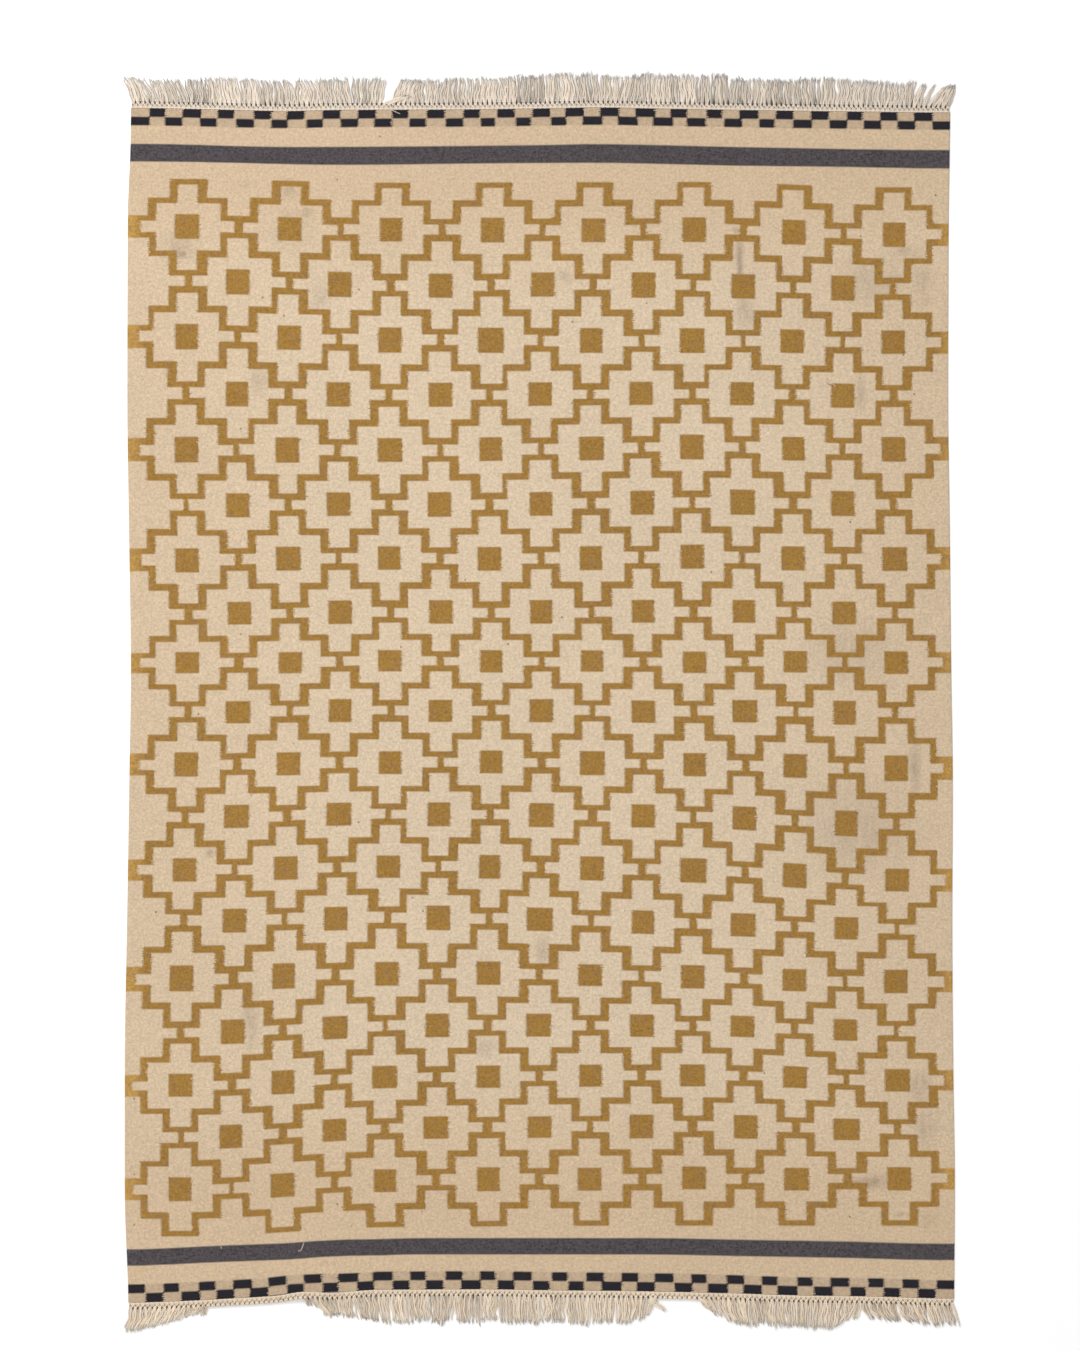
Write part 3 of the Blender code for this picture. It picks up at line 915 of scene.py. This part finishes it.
class Fringe:
    """One end's cord, knots and loose warp yarns."""

    def __init__(self, end):
        self.end = end
        self.chance = np.random.default_rng(end.seed)
        self.left = corner_of(end.line, "left")
        self.right = corner_of(end.line, "right")
        self.pitch = (self.right - self.left) / KNOTS
        self.yarns = Yarns()

    def at(self, across, out, height):
        """Points this far outside the web's end and above its underside."""
        lift = read(self.end.lifts, across, "height")
        return path_of(across, self.outside(across, out), height + lift)

    def outside(self, across, out):
        return read(self.end.line, across, "along") + self.end.outward * out

    def roots(self, shift=0.0):
        return self.left + self.pitch * (np.arange(KNOTS) + 0.5 + shift)

    def draw(self, limits, count):
        """A random number between the limits for each tube."""
        return self.chance.uniform(*limits, count)[:, None]

    def cord(self):
        """A two-ply cord along the last weft."""
        steps = STEPS_A_KNOT * KNOTS
        across = np.linspace(self.left + CORNER_INSET, self.right - CORNER_INSET, steps)
        turn = across / self.pitch * math.pi
        for phase in (0, math.pi):
            out = CORD_OUT + PLY_OFFSET * np.cos(turn + phase)
            height = CORD_HEIGHT + PLY_OFFSET * PLY_FLATNESS * np.sin(turn + phase)
            self.yarns.add(self.at(across, out, height)[None], PLY_RADIUS, YARN_SIDES, CORD_TONE, 0.0)

    def ground_strip(self):
        """The warps between the knots: flat strips under the whole heading, the outer ones painted dark
        as the knots' shade.
        """
        across = np.linspace(self.left + KNOT_INSET, self.right - KNOT_INSET, STRIP_STEPS)
        for strip in STRIPS:
            path = self.at(across, strip.out, strip.height)[None]
            self.yarns.add(path, STRIP_RADIUS, STRIP_SIDES, strip.tone, 0.0)

    def knot_row(self, row):
        """Slanted pairs of wraps, one pair for each knot."""
        roots = self.roots(row.shift)
        roots = roots[(roots > self.left + KNOT_INSET) & (roots < self.right - KNOT_INSET)]
        steps = np.linspace(-1, 1, KNOT_STEPS)
        for side in (-1, 1):
            tilt = np.radians(KNOT_TILT + self.draw(KNOT_TILTS, len(roots)))
            run = steps * (KNOT_HALF_LENGTH * self.draw(KNOT_LENGTHS, len(roots)))
            offset = side * row.radius * KNOT_SPACING
            across = roots[:, None] + np.sin(tilt) * run + np.cos(tilt) * offset
            outs = row.out + np.cos(tilt) * run - np.sin(tilt) * offset
            height = KNOT_FOOT + KNOT_RISE * np.sqrt(1 - steps**2 * KNOT_ROUNDNESS)
            radius = row.radius * (KNOT_END + (1 - KNOT_END) * np.sqrt(1 - steps**2))
            tone = self.draw(KNOT_TONES, len(roots))
            self.yarns.add(self.at(across, outs, height), radius, YARN_SIDES, tone, 0.0)

    def clumps(self):
        """Each knot's clump: its middle, its own lean, reach, waviness, and how tightly it draws in."""
        roots = self.roots()
        drawn = {name: getattr(self.end.habit, name) for name in ("draw", "lean", "reach", "sway")}
        drawn["cycles"] = CLUMP_CYCLES
        drawn["phase"] = (0, TURN)
        drawn["layer"] = CLUMP_LAYERS
        drawn["tone"] = CLUMP_TONES
        found = {name: np.zeros(KNOTS) for name in ("middle", *drawn)}
        start = 0
        while start < KNOTS:
            stop = min(start + int(self.chance.choice(CLUMP_SIZES)), KNOTS)
            found["middle"][start:stop] = roots[start:stop].mean()
            for name, limits in drawn.items():
                found[name][start:stop] = self.chance.uniform(*limits)
            start = stop
        return found

    def lie_of_yarns(self):
        """For each loose yarn: where it starts, its lean and reach, its waviness and its layer."""
        roots = self.roots()
        clumps = self.clumps()
        kept = ~in_stretches(roots, self.end.tucks)
        share = np.tile(np.linspace(-1, 1, YARNS), kept.sum())
        roots = np.repeat(roots[kept], YARNS)
        clump = {name: np.repeat(values[kept], YARNS) for name, values in clumps.items()}
        count = len(roots)
        closing = self.chance.uniform(*self.end.habit.closing, kept.sum())
        lean = read(self.end.lays, roots, "lean") + (clump["middle"] - roots) * clump["draw"]
        reach = read(self.end.lays, roots, "reach") + clump["reach"]
        lie = {
            "root": roots,
            "spread": share * self.pitch,
            "closed": np.repeat(closing, YARNS),
            "lean": lean + clump["lean"] + self.chance.normal(0, LEAN_SCATTER, count),
            "reach": reach + self.chance.normal(0, REACH_SCATTER, count),
            "clump sway": clump["sway"],
            "clump cycles": clump["cycles"],
            "clump phase": clump["phase"],
            "sway": self.chance.uniform(*YARN_SWAYS, count),
            "cycles": self.chance.uniform(*YARN_CYCLES, count),
            "phase": self.chance.uniform(0, TURN, count),
            "layer": clump["layer"] + self.chance.uniform(*YARN_LAYERS, count),
            "tone": clump["tone"],
        }
        for sweep in self.end.sweeps:
            swept = in_stretches(roots, [sweep])
            lie["lean"][swept] = sweep.lean + self.chance.normal(0, SWEPT_SCATTER, swept.sum())
            lie["reach"][swept] = sweep.reach + self.chance.normal(0, SWEPT_SCATTER, swept.sum())
            lie["layer"][swept] += SWEPT_LAYER
        return {name: values[:, None] for name, values in lie.items()}

    def run_of_yarn(self, lie, share):
        """Points along the loose yarns, from the knots to the tips on the floor."""
        own = np.sin(TURN * lie["cycles"] * share + lie["phase"]) - np.sin(lie["phase"])
        shared = TURN * lie["clump cycles"] * share + lie["clump phase"]
        shared = np.sin(shared) - np.sin(lie["clump phase"])
        closed = lie["closed"] * eased((share - CLOSING_FROM) / (1 - CLOSING_FROM))
        opened = eased(share / OPENED_BY) - closed
        across = (
            lie["root"]
            + lie["spread"] * (ROOT_SPREAD + OPEN_SPREAD * opened)
            + lie["lean"] * np.maximum(share, 0) ** LEAN_GROWTH
            + (lie["sway"] * own + lie["clump sway"] * shared) * np.minimum(share * 2, 1)
        )
        out = HEADING_WIDTH - ROOT_INSIDE + (lie["reach"] + ROOT_INSIDE) * share
        settled = eased(share / SETTLED_BY)
        ripple = RIPPLE * np.sin(lie["phase"] * RIPPLE_PHASE + share * RIPPLE_TURN)
        height = ROOT_HEIGHT * (1 - settled) + (YARN_RADIUS + lie["layer"]) * settled
        height = height + ripple * settled
        lift = read(self.end.lifts, lie["root"], "height") * np.maximum(0, 1 - share / LEVEL_BY)
        return path_of(across, self.outside(across, out), height + lift)

    def loose_yarns(self):
        """The yarns from the knots to their tips. Those that lie deeper are in shade."""
        lie = self.lie_of_yarns()
        count = len(lie["root"])
        share = np.linspace(0, YARN_STOP, YARN_STEPS)[None]
        depth = np.clip(lie["layer"] / TOP_LAYER, 0, 1)
        tone = self.draw(YARN_TONES, count) * (LOWEST_TONE + TONE_GAIN * depth) * lie["tone"]
        radius = YARN_RADIUS * self.draw(YARN_RADII, count) * np.interp(share, *YARN_TAPER)
        buried = (1 - depth) ** 2
        lit = eased(share / (ROOT_SHADE_REACH + BURIED_SHADE_REACH * buried))
        shaded = tone * (1 - (ROOT_SHADE + BURIED_SHADE * buried) * (1 - lit))
        raw = eased((share - RAW_FROM) / RAW_OVER)
        self.yarns.add(self.run_of_yarn(lie, share), radius, YARN_SIDES, shaded, raw)
        self.raw_tips(lie, tone)

    def raw_tips(self, lie, tone):
        """Each yarn's end comes apart into a few thin fibres."""
        count = len(lie["root"])
        steps = np.linspace(0, 1, FIBRE_STEPS)[None]
        radius = FIBRE_RADIUS * np.interp(steps, *FIBRE_TAPER)
        raw = FIBRE_RAWNESS + (1 - FIBRE_RAWNESS) * steps
        for _ in range(FIBRES):
            start = self.draw(FIBRE_STARTS, count)
            stop = self.draw(FIBRE_STOPS, count)
            path = self.run_of_yarn(lie, start + (stop - start) * steps)
            aside = self.chance.normal(0, FIBRE_SCATTER, count)[:, None]
            path[..., 0] += aside * steps**FIBRE_CURL
            path[..., 2] += self.draw(FIBRE_RISES, count) * steps
            path[..., 2] = np.maximum(path[..., 2], FIBRE_RADIUS)
            self.yarns.add(path, radius, FIBRE_SIDES, tone, raw)

    def folded_yarns(self):
        """Yarns that turn down over the heading's edge and run back under the rug."""
        roots = self.roots()
        roots = roots[in_stretches(roots, self.end.tucks)]
        if not len(roots):
            return
        spread = np.tile(np.linspace(-1, 1, YARNS), len(roots)) * self.pitch * FOLD_SPREAD
        across = (np.repeat(roots, YARNS) + spread)[:, None]
        reach = self.draw(FOLD_REACHES, len(across))
        bulge = self.draw(FOLD_SWELLS, len(across))
        out, swell, back, share, radius = np.array(FOLD).T[:, None]
        out = out + swell * bulge + back * TUCK_REACH * reach
        crown = read(self.end.lifts, across, "height") + ROOT_HEIGHT
        height = np.maximum(crown * share, FOLD_LOWEST)
        path = path_of(across, self.outside(across, HEADING_WIDTH + out), height)
        tone = self.draw(FOLD_TONES, len(across))
        self.yarns.add(path, radius, FOLD_SIDES, tone, 0.0, up=(1, 0, 0))

    def shaded_gaps(self):
        """Short dark tubes on the floor: painted shade deep between some knots' loose yarns."""
        roots = self.roots(0.5)
        chosen = np.where(in_stretches(roots, self.end.shade), SHADED_GAPS, OTHER_SHADED_GAPS)
        drawn = self.chance.random(KNOTS) < chosen
        tucked = in_stretches(roots, self.end.tucks)
        roots = roots[drawn & ~tucked & (roots < self.right - SHADED_INSET)][:, None]
        share = np.linspace(0, SHADED_REACH, len(SHADED_RADII))[None]
        across = roots + read(self.end.lays, roots, "lean") * share**LEAN_GROWTH
        out = HEADING_WIDTH + read(self.end.lays, roots, "reach") * share
        path = self.at(across, out, SHADED_HEIGHT)
        self.yarns.add(path, SHADED_RADII, STRIP_SIDES, DEEP_SHADE, 0.0)

    def make(self, name, material):
        self.ground_strip()
        self.cord()
        for row in KNOT_ROWS:
            self.knot_row(row)
        self.loose_yarns()
        self.folded_yarns()
        self.shaded_gaps()
        return self.yarns.make(name, material)


SNAG_THREADS = (
    table(
        "across along height",
        (-0.4615, -1.0540, 0.0030), (-0.4635, -1.0600, 0.0040), (-0.4658, -1.0665, 0.0042),
        (-0.4695, -1.0702, 0.0040), (-0.4728, -1.0696, 0.0036),
    ),
    table(
        "across along height",
        (-0.6240, -1.0610, 0.0030), (-0.6228, -1.0635, 0.0037), (-0.6220, -1.0660, 0.0034),
    ),
    table(
        "across along height",
        (0.558, 0.628, 0.0030), (0.563, 0.622, 0.0042), (0.570, 0.620, 0.0042), (0.575, 0.615, 0.0034),
    ),
    table(
        "across along height",
        (-0.3010, 1.1600, 0.0030), (-0.2940, 1.1570, 0.0040), (-0.2840, 1.1515, 0.0042),
        (-0.2740, 1.1473, 0.0036),
    ),
)
SNAG_RADIUS = 0.0006
SNAG_STEPS = 6


def make_snags(material):
    """Short ends of yarn that have worked loose from the weave."""
    yarns = Yarns()
    for thread in SNAG_THREADS:
        numbers = np.arange(len(thread))
        fine = np.linspace(0, len(thread) - 1, SNAG_STEPS * len(thread))
        path = np.stack([smooth_curve(numbers, column, fine) for column in zip(*thread)], 1)
        path[:, 2] += lift_of(path[:, 0], path[:, 1]) + wave_of(path[:, 0], path[:, 1])
        yarns.add(path[None], SNAG_RADIUS, FOLD_SIDES, 1.0, 0.0)
    return yarns.make("snag_threads", material)


def linear(red, green, blue):
    """A colour given as 0 to 255 on a screen, as a shader takes it."""
    values = []
    for value in (red, green, blue):
        share = value / 255
        values.append(share / 12.92 if share <= 0.04045 else ((share + 0.055) / 1.055) ** 2.4)
    return (*values, 1.0)


class Nodes:
    """Builds one material. A socket takes a number, a colour or another node's output."""

    def __init__(self, name):
        self.material = bpy.data.materials.new(name)
        self.material.use_nodes = True
        self.tree = self.material.node_tree
        self.shader = self.tree.nodes["Principled BSDF"]
        self.place = self.add("TexCoord").outputs["Object"]
        parts = self.add("SeparateXYZ", {"Vector": self.place})
        self.across = parts.outputs["X"]
        self.along = parts.outputs["Y"]

    def add(self, kind, inputs=(), **settings):
        node = self.tree.nodes.new("ShaderNode" + kind)
        for name, value in settings.items():
            setattr(node, name, value)
        for socket, value in dict(inputs).items():
            self.feed(node.inputs[socket], value)
        return node

    def feed(self, socket, value):
        if isinstance(value, bpy.types.NodeSocket):
            self.tree.links.new(value, socket)
        else:
            socket.default_value = value

    def math(self, operation, *values, clamp=False):
        node = self.add("Math", dict(enumerate(values)), operation=operation)
        node.use_clamp = clamp
        return node.outputs[0]

    def vector(self, operation, first, second):
        return self.add("VectorMath", {0: first, 1: second}, operation=operation).outputs[0]

    def noise(self, scale, detail=2.0, rough=0.5, stretch=None, shift=(0, 0, 0)):
        """Noise about zero, from about -1 to 1."""
        place = self.vector("ADD", self.place, shift)
        if stretch:
            place = self.vector("MULTIPLY", place, stretch)
        inputs = {"Vector": place, "Scale": scale, "Detail": detail, "Roughness": rough}
        node = self.add("TexNoise", inputs)
        return self.math("MULTIPLY_ADD", node.outputs["Fac"], 2.0, -1.0)

    def step(self, value, low, high):
        """0 below low, 1 above high, eased between."""
        inputs = {"Value": value, "From Min": low, "From Max": high}
        return self.add("MapRange", inputs, interpolation_type="SMOOTHSTEP").outputs["Result"]

    def mix(self, share, first, second):
        return self.add("Mix", {0: share, 6: first, 7: second}, data_type="RGBA").outputs[2]

    def brighten(self, colour, amount):
        """The colour times one plus an amount."""
        if isinstance(colour, tuple):
            colour = colour[:3]
        scale = self.math("ADD", amount, 1.0)
        node = self.add("VectorMath", {0: colour, "Scale": scale}, operation="SCALE")
        return node.outputs[0]

    def total(self, *values):
        whole = values[0]
        for value in values[1:]:
            whole = self.math("ADD", whole, value)
        return whole

    def times(self, value, factor):
        return self.math("MULTIPLY", value, factor)

    def spot(self, across, along, half_width, half_length):
        """1 in the middle of an oval, 0 outside it."""
        away = self.vector("SUBTRACT", self.place, (across, along, 0))
        away = self.vector("MULTIPLY", away, (1 / half_width, 1 / half_length, 0))
        length = self.add("VectorMath", {0: away}, operation="LENGTH").outputs["Value"]
        return self.step(length, 1.0, 0.0)

    def finish(self, colour, height, depth, roughness, sheen):
        """Feeds the shader with a colour and with bumps of this height pattern and depth."""
        bump = self.add("Bump", {"Strength": 1.0, "Distance": depth, "Height": height})
        inputs = {
            "Base Color": colour,
            "Roughness": roughness,
            "Specular IOR Level": 0.25,
            "Sheen Weight": sheen,
            "Sheen Roughness": 0.5,
            "Normal": bump.outputs["Normal"],
        }
        for socket, value in inputs.items():
            self.feed(self.shader.inputs[socket], value)
        return self.material


# Soiled patches of the ground, some of them painted shade, and yellow stains
SOIL_AND_SHADE_SPOTS = table(
    "across along half_width half_length strength",
    # The first spot on the next line is a crease's streak: soil and painted shade together
    (0.389, 0.860, 0.013, 0.075, 0.60), (0.382, 0.920, 0.014, 0.011, 0.45),
    (-0.489, 0.999, 0.028, 0.032, 0.32), (-0.487, 0.925, 0.070, 0.070, 0.16),
    (-0.452, 0.955, 0.020, 0.016, 0.30), (-0.368, -1.0215, 0.005, 0.005, 0.45),
    (0.385, 0.815, 0.020, 0.022, 0.25), (0.643, 0.823, 0.110, 0.070, 0.22),
    (0.604, 0.101, 0.150, 0.110, 0.20), (0.623, -0.250, 0.170, 0.150, 0.24),
    (-0.698, 0.872, 0.014, 0.011, 0.45), (-0.577, 1.010, 0.040, 0.014, 0.14),
    (0.620, -0.937, 0.040, 0.018, 0.30), (0.580, -0.950, 0.012, 0.010, 0.40),
    # The second spot on the next line is a crease's painted shade
    (0.700, -1.000, 0.020, 0.008, 0.30), (0.758, -1.010, 0.035, 0.035, 0.16),
    (0.490, -1.0225, 0.004, 0.004, 0.45), (0.641, -1.0245, 0.004, 0.003, 0.40),
    (0.635, -1.100, 0.002, 0.007, 0.35), (0.026, -0.632, 0.004, 0.004, 0.50),
    (0.655, -0.935, 0.035, 0.025, 0.40), (0.400, 0.760, 0.030, 0.050, 0.40),
    (0.730, -0.125, 0.020, 0.080, 0.35), (-0.645, -0.295, 0.014, 0.016, 0.40),
    (0.740, -0.750, 0.035, 0.045, 0.33), (-0.705, 0.885, 0.060, 0.045, 0.26),
    (0.625, 0.600, 0.016, 0.055, 0.30), (0.005, -0.485, 0.022, 0.050, 0.30),
    (-0.565, -0.620, 0.028, 0.090, 0.30), (-0.550, 0.625, 0.025, 0.045, 0.28),
    (-0.105, -0.675, 0.035, 0.030, 0.28), (0.750, -0.835, 0.038, 0.058, 0.26),
    (0.045, 0.830, 0.032, 0.022, 0.26), (0.710, 0.880, 0.050, 0.020, 0.25),
    (-0.430, 0.790, 0.040, 0.045, 0.22), (0.745, 0.820, 0.032, 0.075, 0.22),
    # The last two spots are the snag thread's painted shadow
    (0.566, 0.620, 0.012, 0.0035, 0.75), (0.560, 0.625, 0.004, 0.008, 0.60),
)
YELLOW_STAINS = table(
    "across along half_width half_length strength",
    (-0.785, -1.106, 0.018, 0.012, 0.45),
    (-0.639, -1.116, 0.009, 0.010, 0.50),
    (-0.800, -0.965, 0.010, 0.020, 0.35),
)

# Colours within the wool and the cotton, as on a screen
MUSTARD_PATCHES = (150, 115, 80)
FINE_NEPS = (140, 118, 100)
NEPS = (92, 74, 60)
# The soil colour, which also paints shade at creases and under a snag thread
DIRT_AND_SHADE = (98, 85, 78)
STAIN = (214, 178, 110)
# The inner warps' cotton, painted dark as the shade in the slits
SHADED_WARP_COTTON = (134, 108, 82)

# How much of the weave's bumps is the weft's beads, and how often a cotton yarn is twisted
BEAD_SHARE = 0.3
TURNS_A_CENTIMETRE = 2.2

# Where the mustard takes its selvedge tone, and where the ground's colour in the net fades out
SELVEDGE_TONE = (0.765, 0.80)
FIELD_MIDDLE = 0.03
FIELD_ENDS = (0.70, 1.0)
FIELD_SIDES = (0.30, 0.85)
SIDE_FADING = 0.7

# Neps: how many cells a metre, the share of cells without one, and the largest one's size
NEP_CELLS = 48.0
CELLS_WITHOUT = 0.74
LARGEST_NEP = 0.11
NEP_SOFTNESS = 0.03


def marks(nodes, smudges):
    """All spots of a table, added up."""
    whole = 0.0
    for smudge in smudges:
        whole = nodes.math("MULTIPLY_ADD", nodes.spot(*smudge[:4]), smudge.strength, whole)
    return whole


def weave_height(nodes):
    """Warp ribs, with the weft's beads lying half a step apart on neighbouring ribs."""
    warp = nodes.math("DIVIDE", nodes.across, WARP_PITCH)
    rib = nodes.math("ABSOLUTE", nodes.math("SINE", nodes.times(warp, math.pi)))
    turn = nodes.times(nodes.math("FLOOR", warp), 0.5)
    weft = nodes.math("ADD", nodes.math("DIVIDE", nodes.along, WEFT_PITCH / 2), turn)
    bead = nodes.math("SINE", nodes.times(weft, TURN))
    bead = nodes.math("MULTIPLY_ADD", bead, BEAD_SHARE, 1 - BEAD_SHARE)
    return nodes.math("MULTIPLY", rib, bead)


def selvedge_tint(nodes, tint, selvedge):
    """Patchy mustard, with a tone of its own at the selvedges."""
    distance = nodes.math("ABSOLUTE", nodes.across)
    tint = nodes.mix(nodes.step(distance, *SELVEDGE_TONE), tint, linear(*selvedge))
    patches = nodes.noise(75, detail=3, rough=0.6, shift=(4, 4, 0))
    patches = nodes.math("MULTIPLY_ADD", patches, 1.3, 0.05, clamp=True)
    return nodes.mix(patches, tint, linear(*MUSTARD_PATCHES))


def field_tint(nodes, tint, field):
    """The colour that the ground has where the net is."""
    away = nodes.math("ABSOLUTE", nodes.math("SUBTRACT", nodes.along, FIELD_MIDDLE))
    aside = nodes.step(nodes.math("ABSOLUTE", nodes.across), *FIELD_SIDES)
    aside = nodes.times(aside, SIDE_FADING)
    outside = nodes.math("MAXIMUM", nodes.step(away, *FIELD_ENDS), aside)
    return nodes.mix(outside, linear(*field), tint)


def nepped(nodes, shaded, strength):
    """Fine darker hairs, and here and there a dark nep."""
    fine = nodes.step(nodes.noise(190, detail=2, rough=0.8, shift=(6, 3, 0)), 0.22, 0.62)
    shaded = nodes.mix(nodes.times(fine, 0.30), shaded, linear(*FINE_NEPS))
    inputs = {"Vector": nodes.place, "Scale": NEP_CELLS, "Randomness": 1.0}
    cells = nodes.add("TexVoronoi", inputs, feature="F1")
    chosen = nodes.add("SeparateColor", {"Color": cells.outputs["Color"]}).outputs[0]
    edge = nodes.times(nodes.step(chosen, CELLS_WITHOUT, 1.0), LARGEST_NEP)
    inside = nodes.math("SUBTRACT", edge, cells.outputs["Distance"])
    fleck = nodes.times(nodes.step(inside, 0.0, NEP_SOFTNESS), strength)
    return nodes.mix(fleck, shaded, linear(*NEPS))


def soiled_and_shaded(nodes, shaded):
    """Rubbed soil, with painted shade at creases and under a snag thread, and yellow stains."""
    patchiness = nodes.noise(45, detail=4, rough=0.7, stretch=(1.6, 0.6, 1.0), shift=(2, 2, 0))
    patchiness = nodes.math("MULTIPLY_ADD", patchiness, 1.3, 0.8, clamp=True)
    for smudges, colour in ((SOIL_AND_SHADE_SPOTS, DIRT_AND_SHADE), (YELLOW_STAINS, STAIN)):
        strength = nodes.math("MULTIPLY", marks(nodes, smudges), patchiness, clamp=True)
        shaded = nodes.mix(strength, shaded, linear(*colour))
    return shaded


def wool(name, colour, speckle, streak, cloud, nep=0.0, field=None, selvedge=None):
    """Heathered wool yarn in a weft-faced plain weave.

    Where the net is, the ground has a colour of its own, and it alone is soiled, stained and marked with
    painted shade.
    """
    nodes = Nodes(name)
    grain = nodes.noise(230, detail=3, rough=0.75)
    threads = nodes.noise(60, detail=3, rough=0.6, stretch=(1.0, 7.0, 1.0), shift=(3, 1, 0))
    clouds = nodes.noise(5, detail=3, rough=0.55, stretch=(0.6, 1.0, 1.0), shift=(7, 5, 0))
    height = weave_height(nodes)
    # The shade is the yarn's own mottling, plus painted shade in the weave's grooves and painted light
    # on its ribs
    shade = nodes.total(
        nodes.times(grain, speckle),
        nodes.times(threads, streak),
        nodes.times(clouds, cloud),
        nodes.math("MULTIPLY_ADD", height, 0.10, -0.05),
    )
    tint = linear(*colour)
    if selvedge:
        tint = selvedge_tint(nodes, tint, selvedge)
    if field:
        tint = field_tint(nodes, tint, field)
    shaded = nodes.brighten(tint, shade)
    if nep:
        shaded = nepped(nodes, shaded, nep)
    if field:
        shaded = soiled_and_shaded(nodes, shaded)
    return nodes.finish(shaded, height, depth=0.0005, roughness=0.92, sheen=0.12)


def cotton(name, colour, raw_colour):
    """Plied cotton warp yarn: twisted, greyer and softer at its raw ends."""
    nodes = Nodes(name)
    yarn = nodes.add("UVMap", uv_map="yarn").outputs["UV"]
    parts = nodes.add("SeparateXYZ", {"Vector": yarn})
    plies = nodes.times(parts.outputs["X"], 2)
    turns = nodes.math("MULTIPLY_ADD", parts.outputs["Y"], TURNS_A_CENTIMETRE, plies)
    twist = nodes.math("ABSOLUTE", nodes.math("SINE", nodes.times(turns, math.pi)))
    tone = nodes.add("Attribute", attribute_name="tone").outputs["Fac"]
    raw = nodes.add("Attribute", attribute_name="raw").outputs["Fac"]
    grain = nodes.noise(420, detail=3, rough=0.6)
    tint = nodes.mix(raw, linear(*colour), linear(*raw_colour))
    # The shade is the grain, painted shade in the grooves between the plies with painted light on their
    # crowns, and each point's tone, which holds the yarn's own tone and the painted shade laid on deeper
    # yarns, strips and gaps
    shade = nodes.total(
        nodes.times(grain, 0.12),
        nodes.math("MULTIPLY_ADD", twist, 0.22, -0.12),
        nodes.math("SUBTRACT", tone, 1.0),
    )
    shaded = nodes.brighten(tint, shade)
    return nodes.finish(shaded, twist, depth=0.0003, roughness=0.95, sheen=0.1)


def plain_cotton(name):
    """The warps inside the weave, which show only through its slits. Their cotton is painted dark as the
    shade in the slits.
    """
    nodes = Nodes(name)
    ribs = nodes.math("SINE", nodes.math("DIVIDE", nodes.across, WARP_PITCH / TURN))
    shaded = nodes.brighten(linear(*SHADED_WARP_COTTON), nodes.times(nodes.noise(300), 0.1))
    return nodes.finish(shaded, ribs, depth=0.0004, roughness=0.95, sheen=0.0)


FLOOR_HALF_SIZE = 30.0
FLOOR_LEVEL = -0.0002
FLOOR_PAINT = (0.97, 0.97, 0.97, 1.0)
SKY_STRENGTH = 0.57


def make_floor():
    """A plain pale floor, wide enough for every view."""
    corners = ((-1, -1), (1, -1), (1, 1), (-1, 1))
    points = [(FLOOR_HALF_SIZE * x, FLOOR_HALF_SIZE * y, FLOOR_LEVEL) for x, y in corners]
    material = bpy.data.materials.new("floor_paint")
    material.use_nodes = True
    shader = material.node_tree.nodes["Principled BSDF"]
    shader.inputs["Base Color"].default_value = FLOOR_PAINT
    shader.inputs["Roughness"].default_value = 0.9
    shader.inputs["Specular IOR Level"].default_value = 0.1
    floor = mesh_object("floor", points, [np.array([[0, 1, 2, 3]])], material)


def add_light(name, place, size, power):
    """A round light that points at the middle of the rug."""
    light = bpy.data.lights.new(name, "AREA")
    light.shape = "DISK"
    light.size = size
    light.energy = power
    made = link(name, light)
    made.location = place
    made.rotation_euler = (-Vector(place)).to_track_quat("-Z", "Y").to_euler()


# The camera looks straight down. The frame's height is how much of the floor it takes in.
CAMERA_PLACE = (-0.001, 0.0527, 8.0)
FRAME_HEIGHT = 2.634
SENSOR = 36.0
FARTHEST = 100


def make_camera():
    camera = bpy.data.cameras.new("camera")
    camera.sensor_width = SENSOR
    camera.lens = SENSOR * CAMERA_PLACE[2] / FRAME_HEIGHT
    camera.clip_end = FARTHEST
    made = link("camera", camera)
    made.location = CAMERA_PLACE
    bpy.context.scene.camera = made


def make_stage():
    scene = bpy.context.scene
    scene.view_settings.view_transform = "Standard"
    scene.view_settings.look = "None"
    world = bpy.data.worlds.new("studio")
    world.use_nodes = True
    background = world.node_tree.nodes["Background"]
    background.inputs["Color"].default_value = (1.0, 1.0, 1.0, 1.0)
    background.inputs["Strength"].default_value = SKY_STRENGTH
    scene.world = world
    add_light("key", place=(-2.2, 2.6, 4.6), size=2.2, power=172)
    add_light("fill", place=(-0.5, -2.8, 5.0), size=3.0, power=75)
    make_floor()


def dress(piece):
    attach(piece, "root")
    return piece


def main():
    make_camera()
    make_stage()
    cloth = Cloth()
    weaver = Weaver(cloth, woven_colours())
    weaver.weave()
    ground = wool("wool_ground", (207, 182, 151), 0.50, 0.08, 0.05, nep=0.8, field=(214, 193, 165))
    mustard = wool("wool_mustard", (157, 118, 53), 0.80, 0.16, 0.10, selvedge=(185, 144, 75))
    charcoal = wool("wool_charcoal", (76, 70, 73), 1.50, 0.50, 0.06)
    navy = wool("wool_navy", (30, 27, 34), 1.20, 0.40, 0.06)
    tan = wool("wool_tan", (191, 167, 139), 0.50, 0.12, 0.06, nep=0.4)
    paler_yarn = cotton("cotton_pale", (224, 210, 193), (220, 211, 200))
    yarn = cotton("cotton_warm", (230, 212, 189), (224, 210, 190))
    warps = dress(make_warps(cloth, plain_cotton("cotton_warps")))
    faces = [
        dress(woven_object("weave_ground", weaver, WOOL, ground)),
        dress(woven_object("weave_net", weaver, MUSTARD, mustard)),
        dress(woven_object("weave_bands", weaver, CHARCOAL, charcoal)),
        dress(woven_object("weave_checks", weaver, NAVY, navy)),
        dress(woven_object("weave_tan_checks", weaver, TAN, tan)),
    ]
    top_yarns = dress(Fringe(TOP).make("fringe_top_yarns", paler_yarn))
    bottom_yarns = dress(Fringe(BOTTOM).make("fringe_bottom_yarns", yarn))
    snags = dress(make_snags(paler_yarn))
    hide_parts("web")
    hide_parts("fringe_top")
    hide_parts("fringe_bottom")


main()
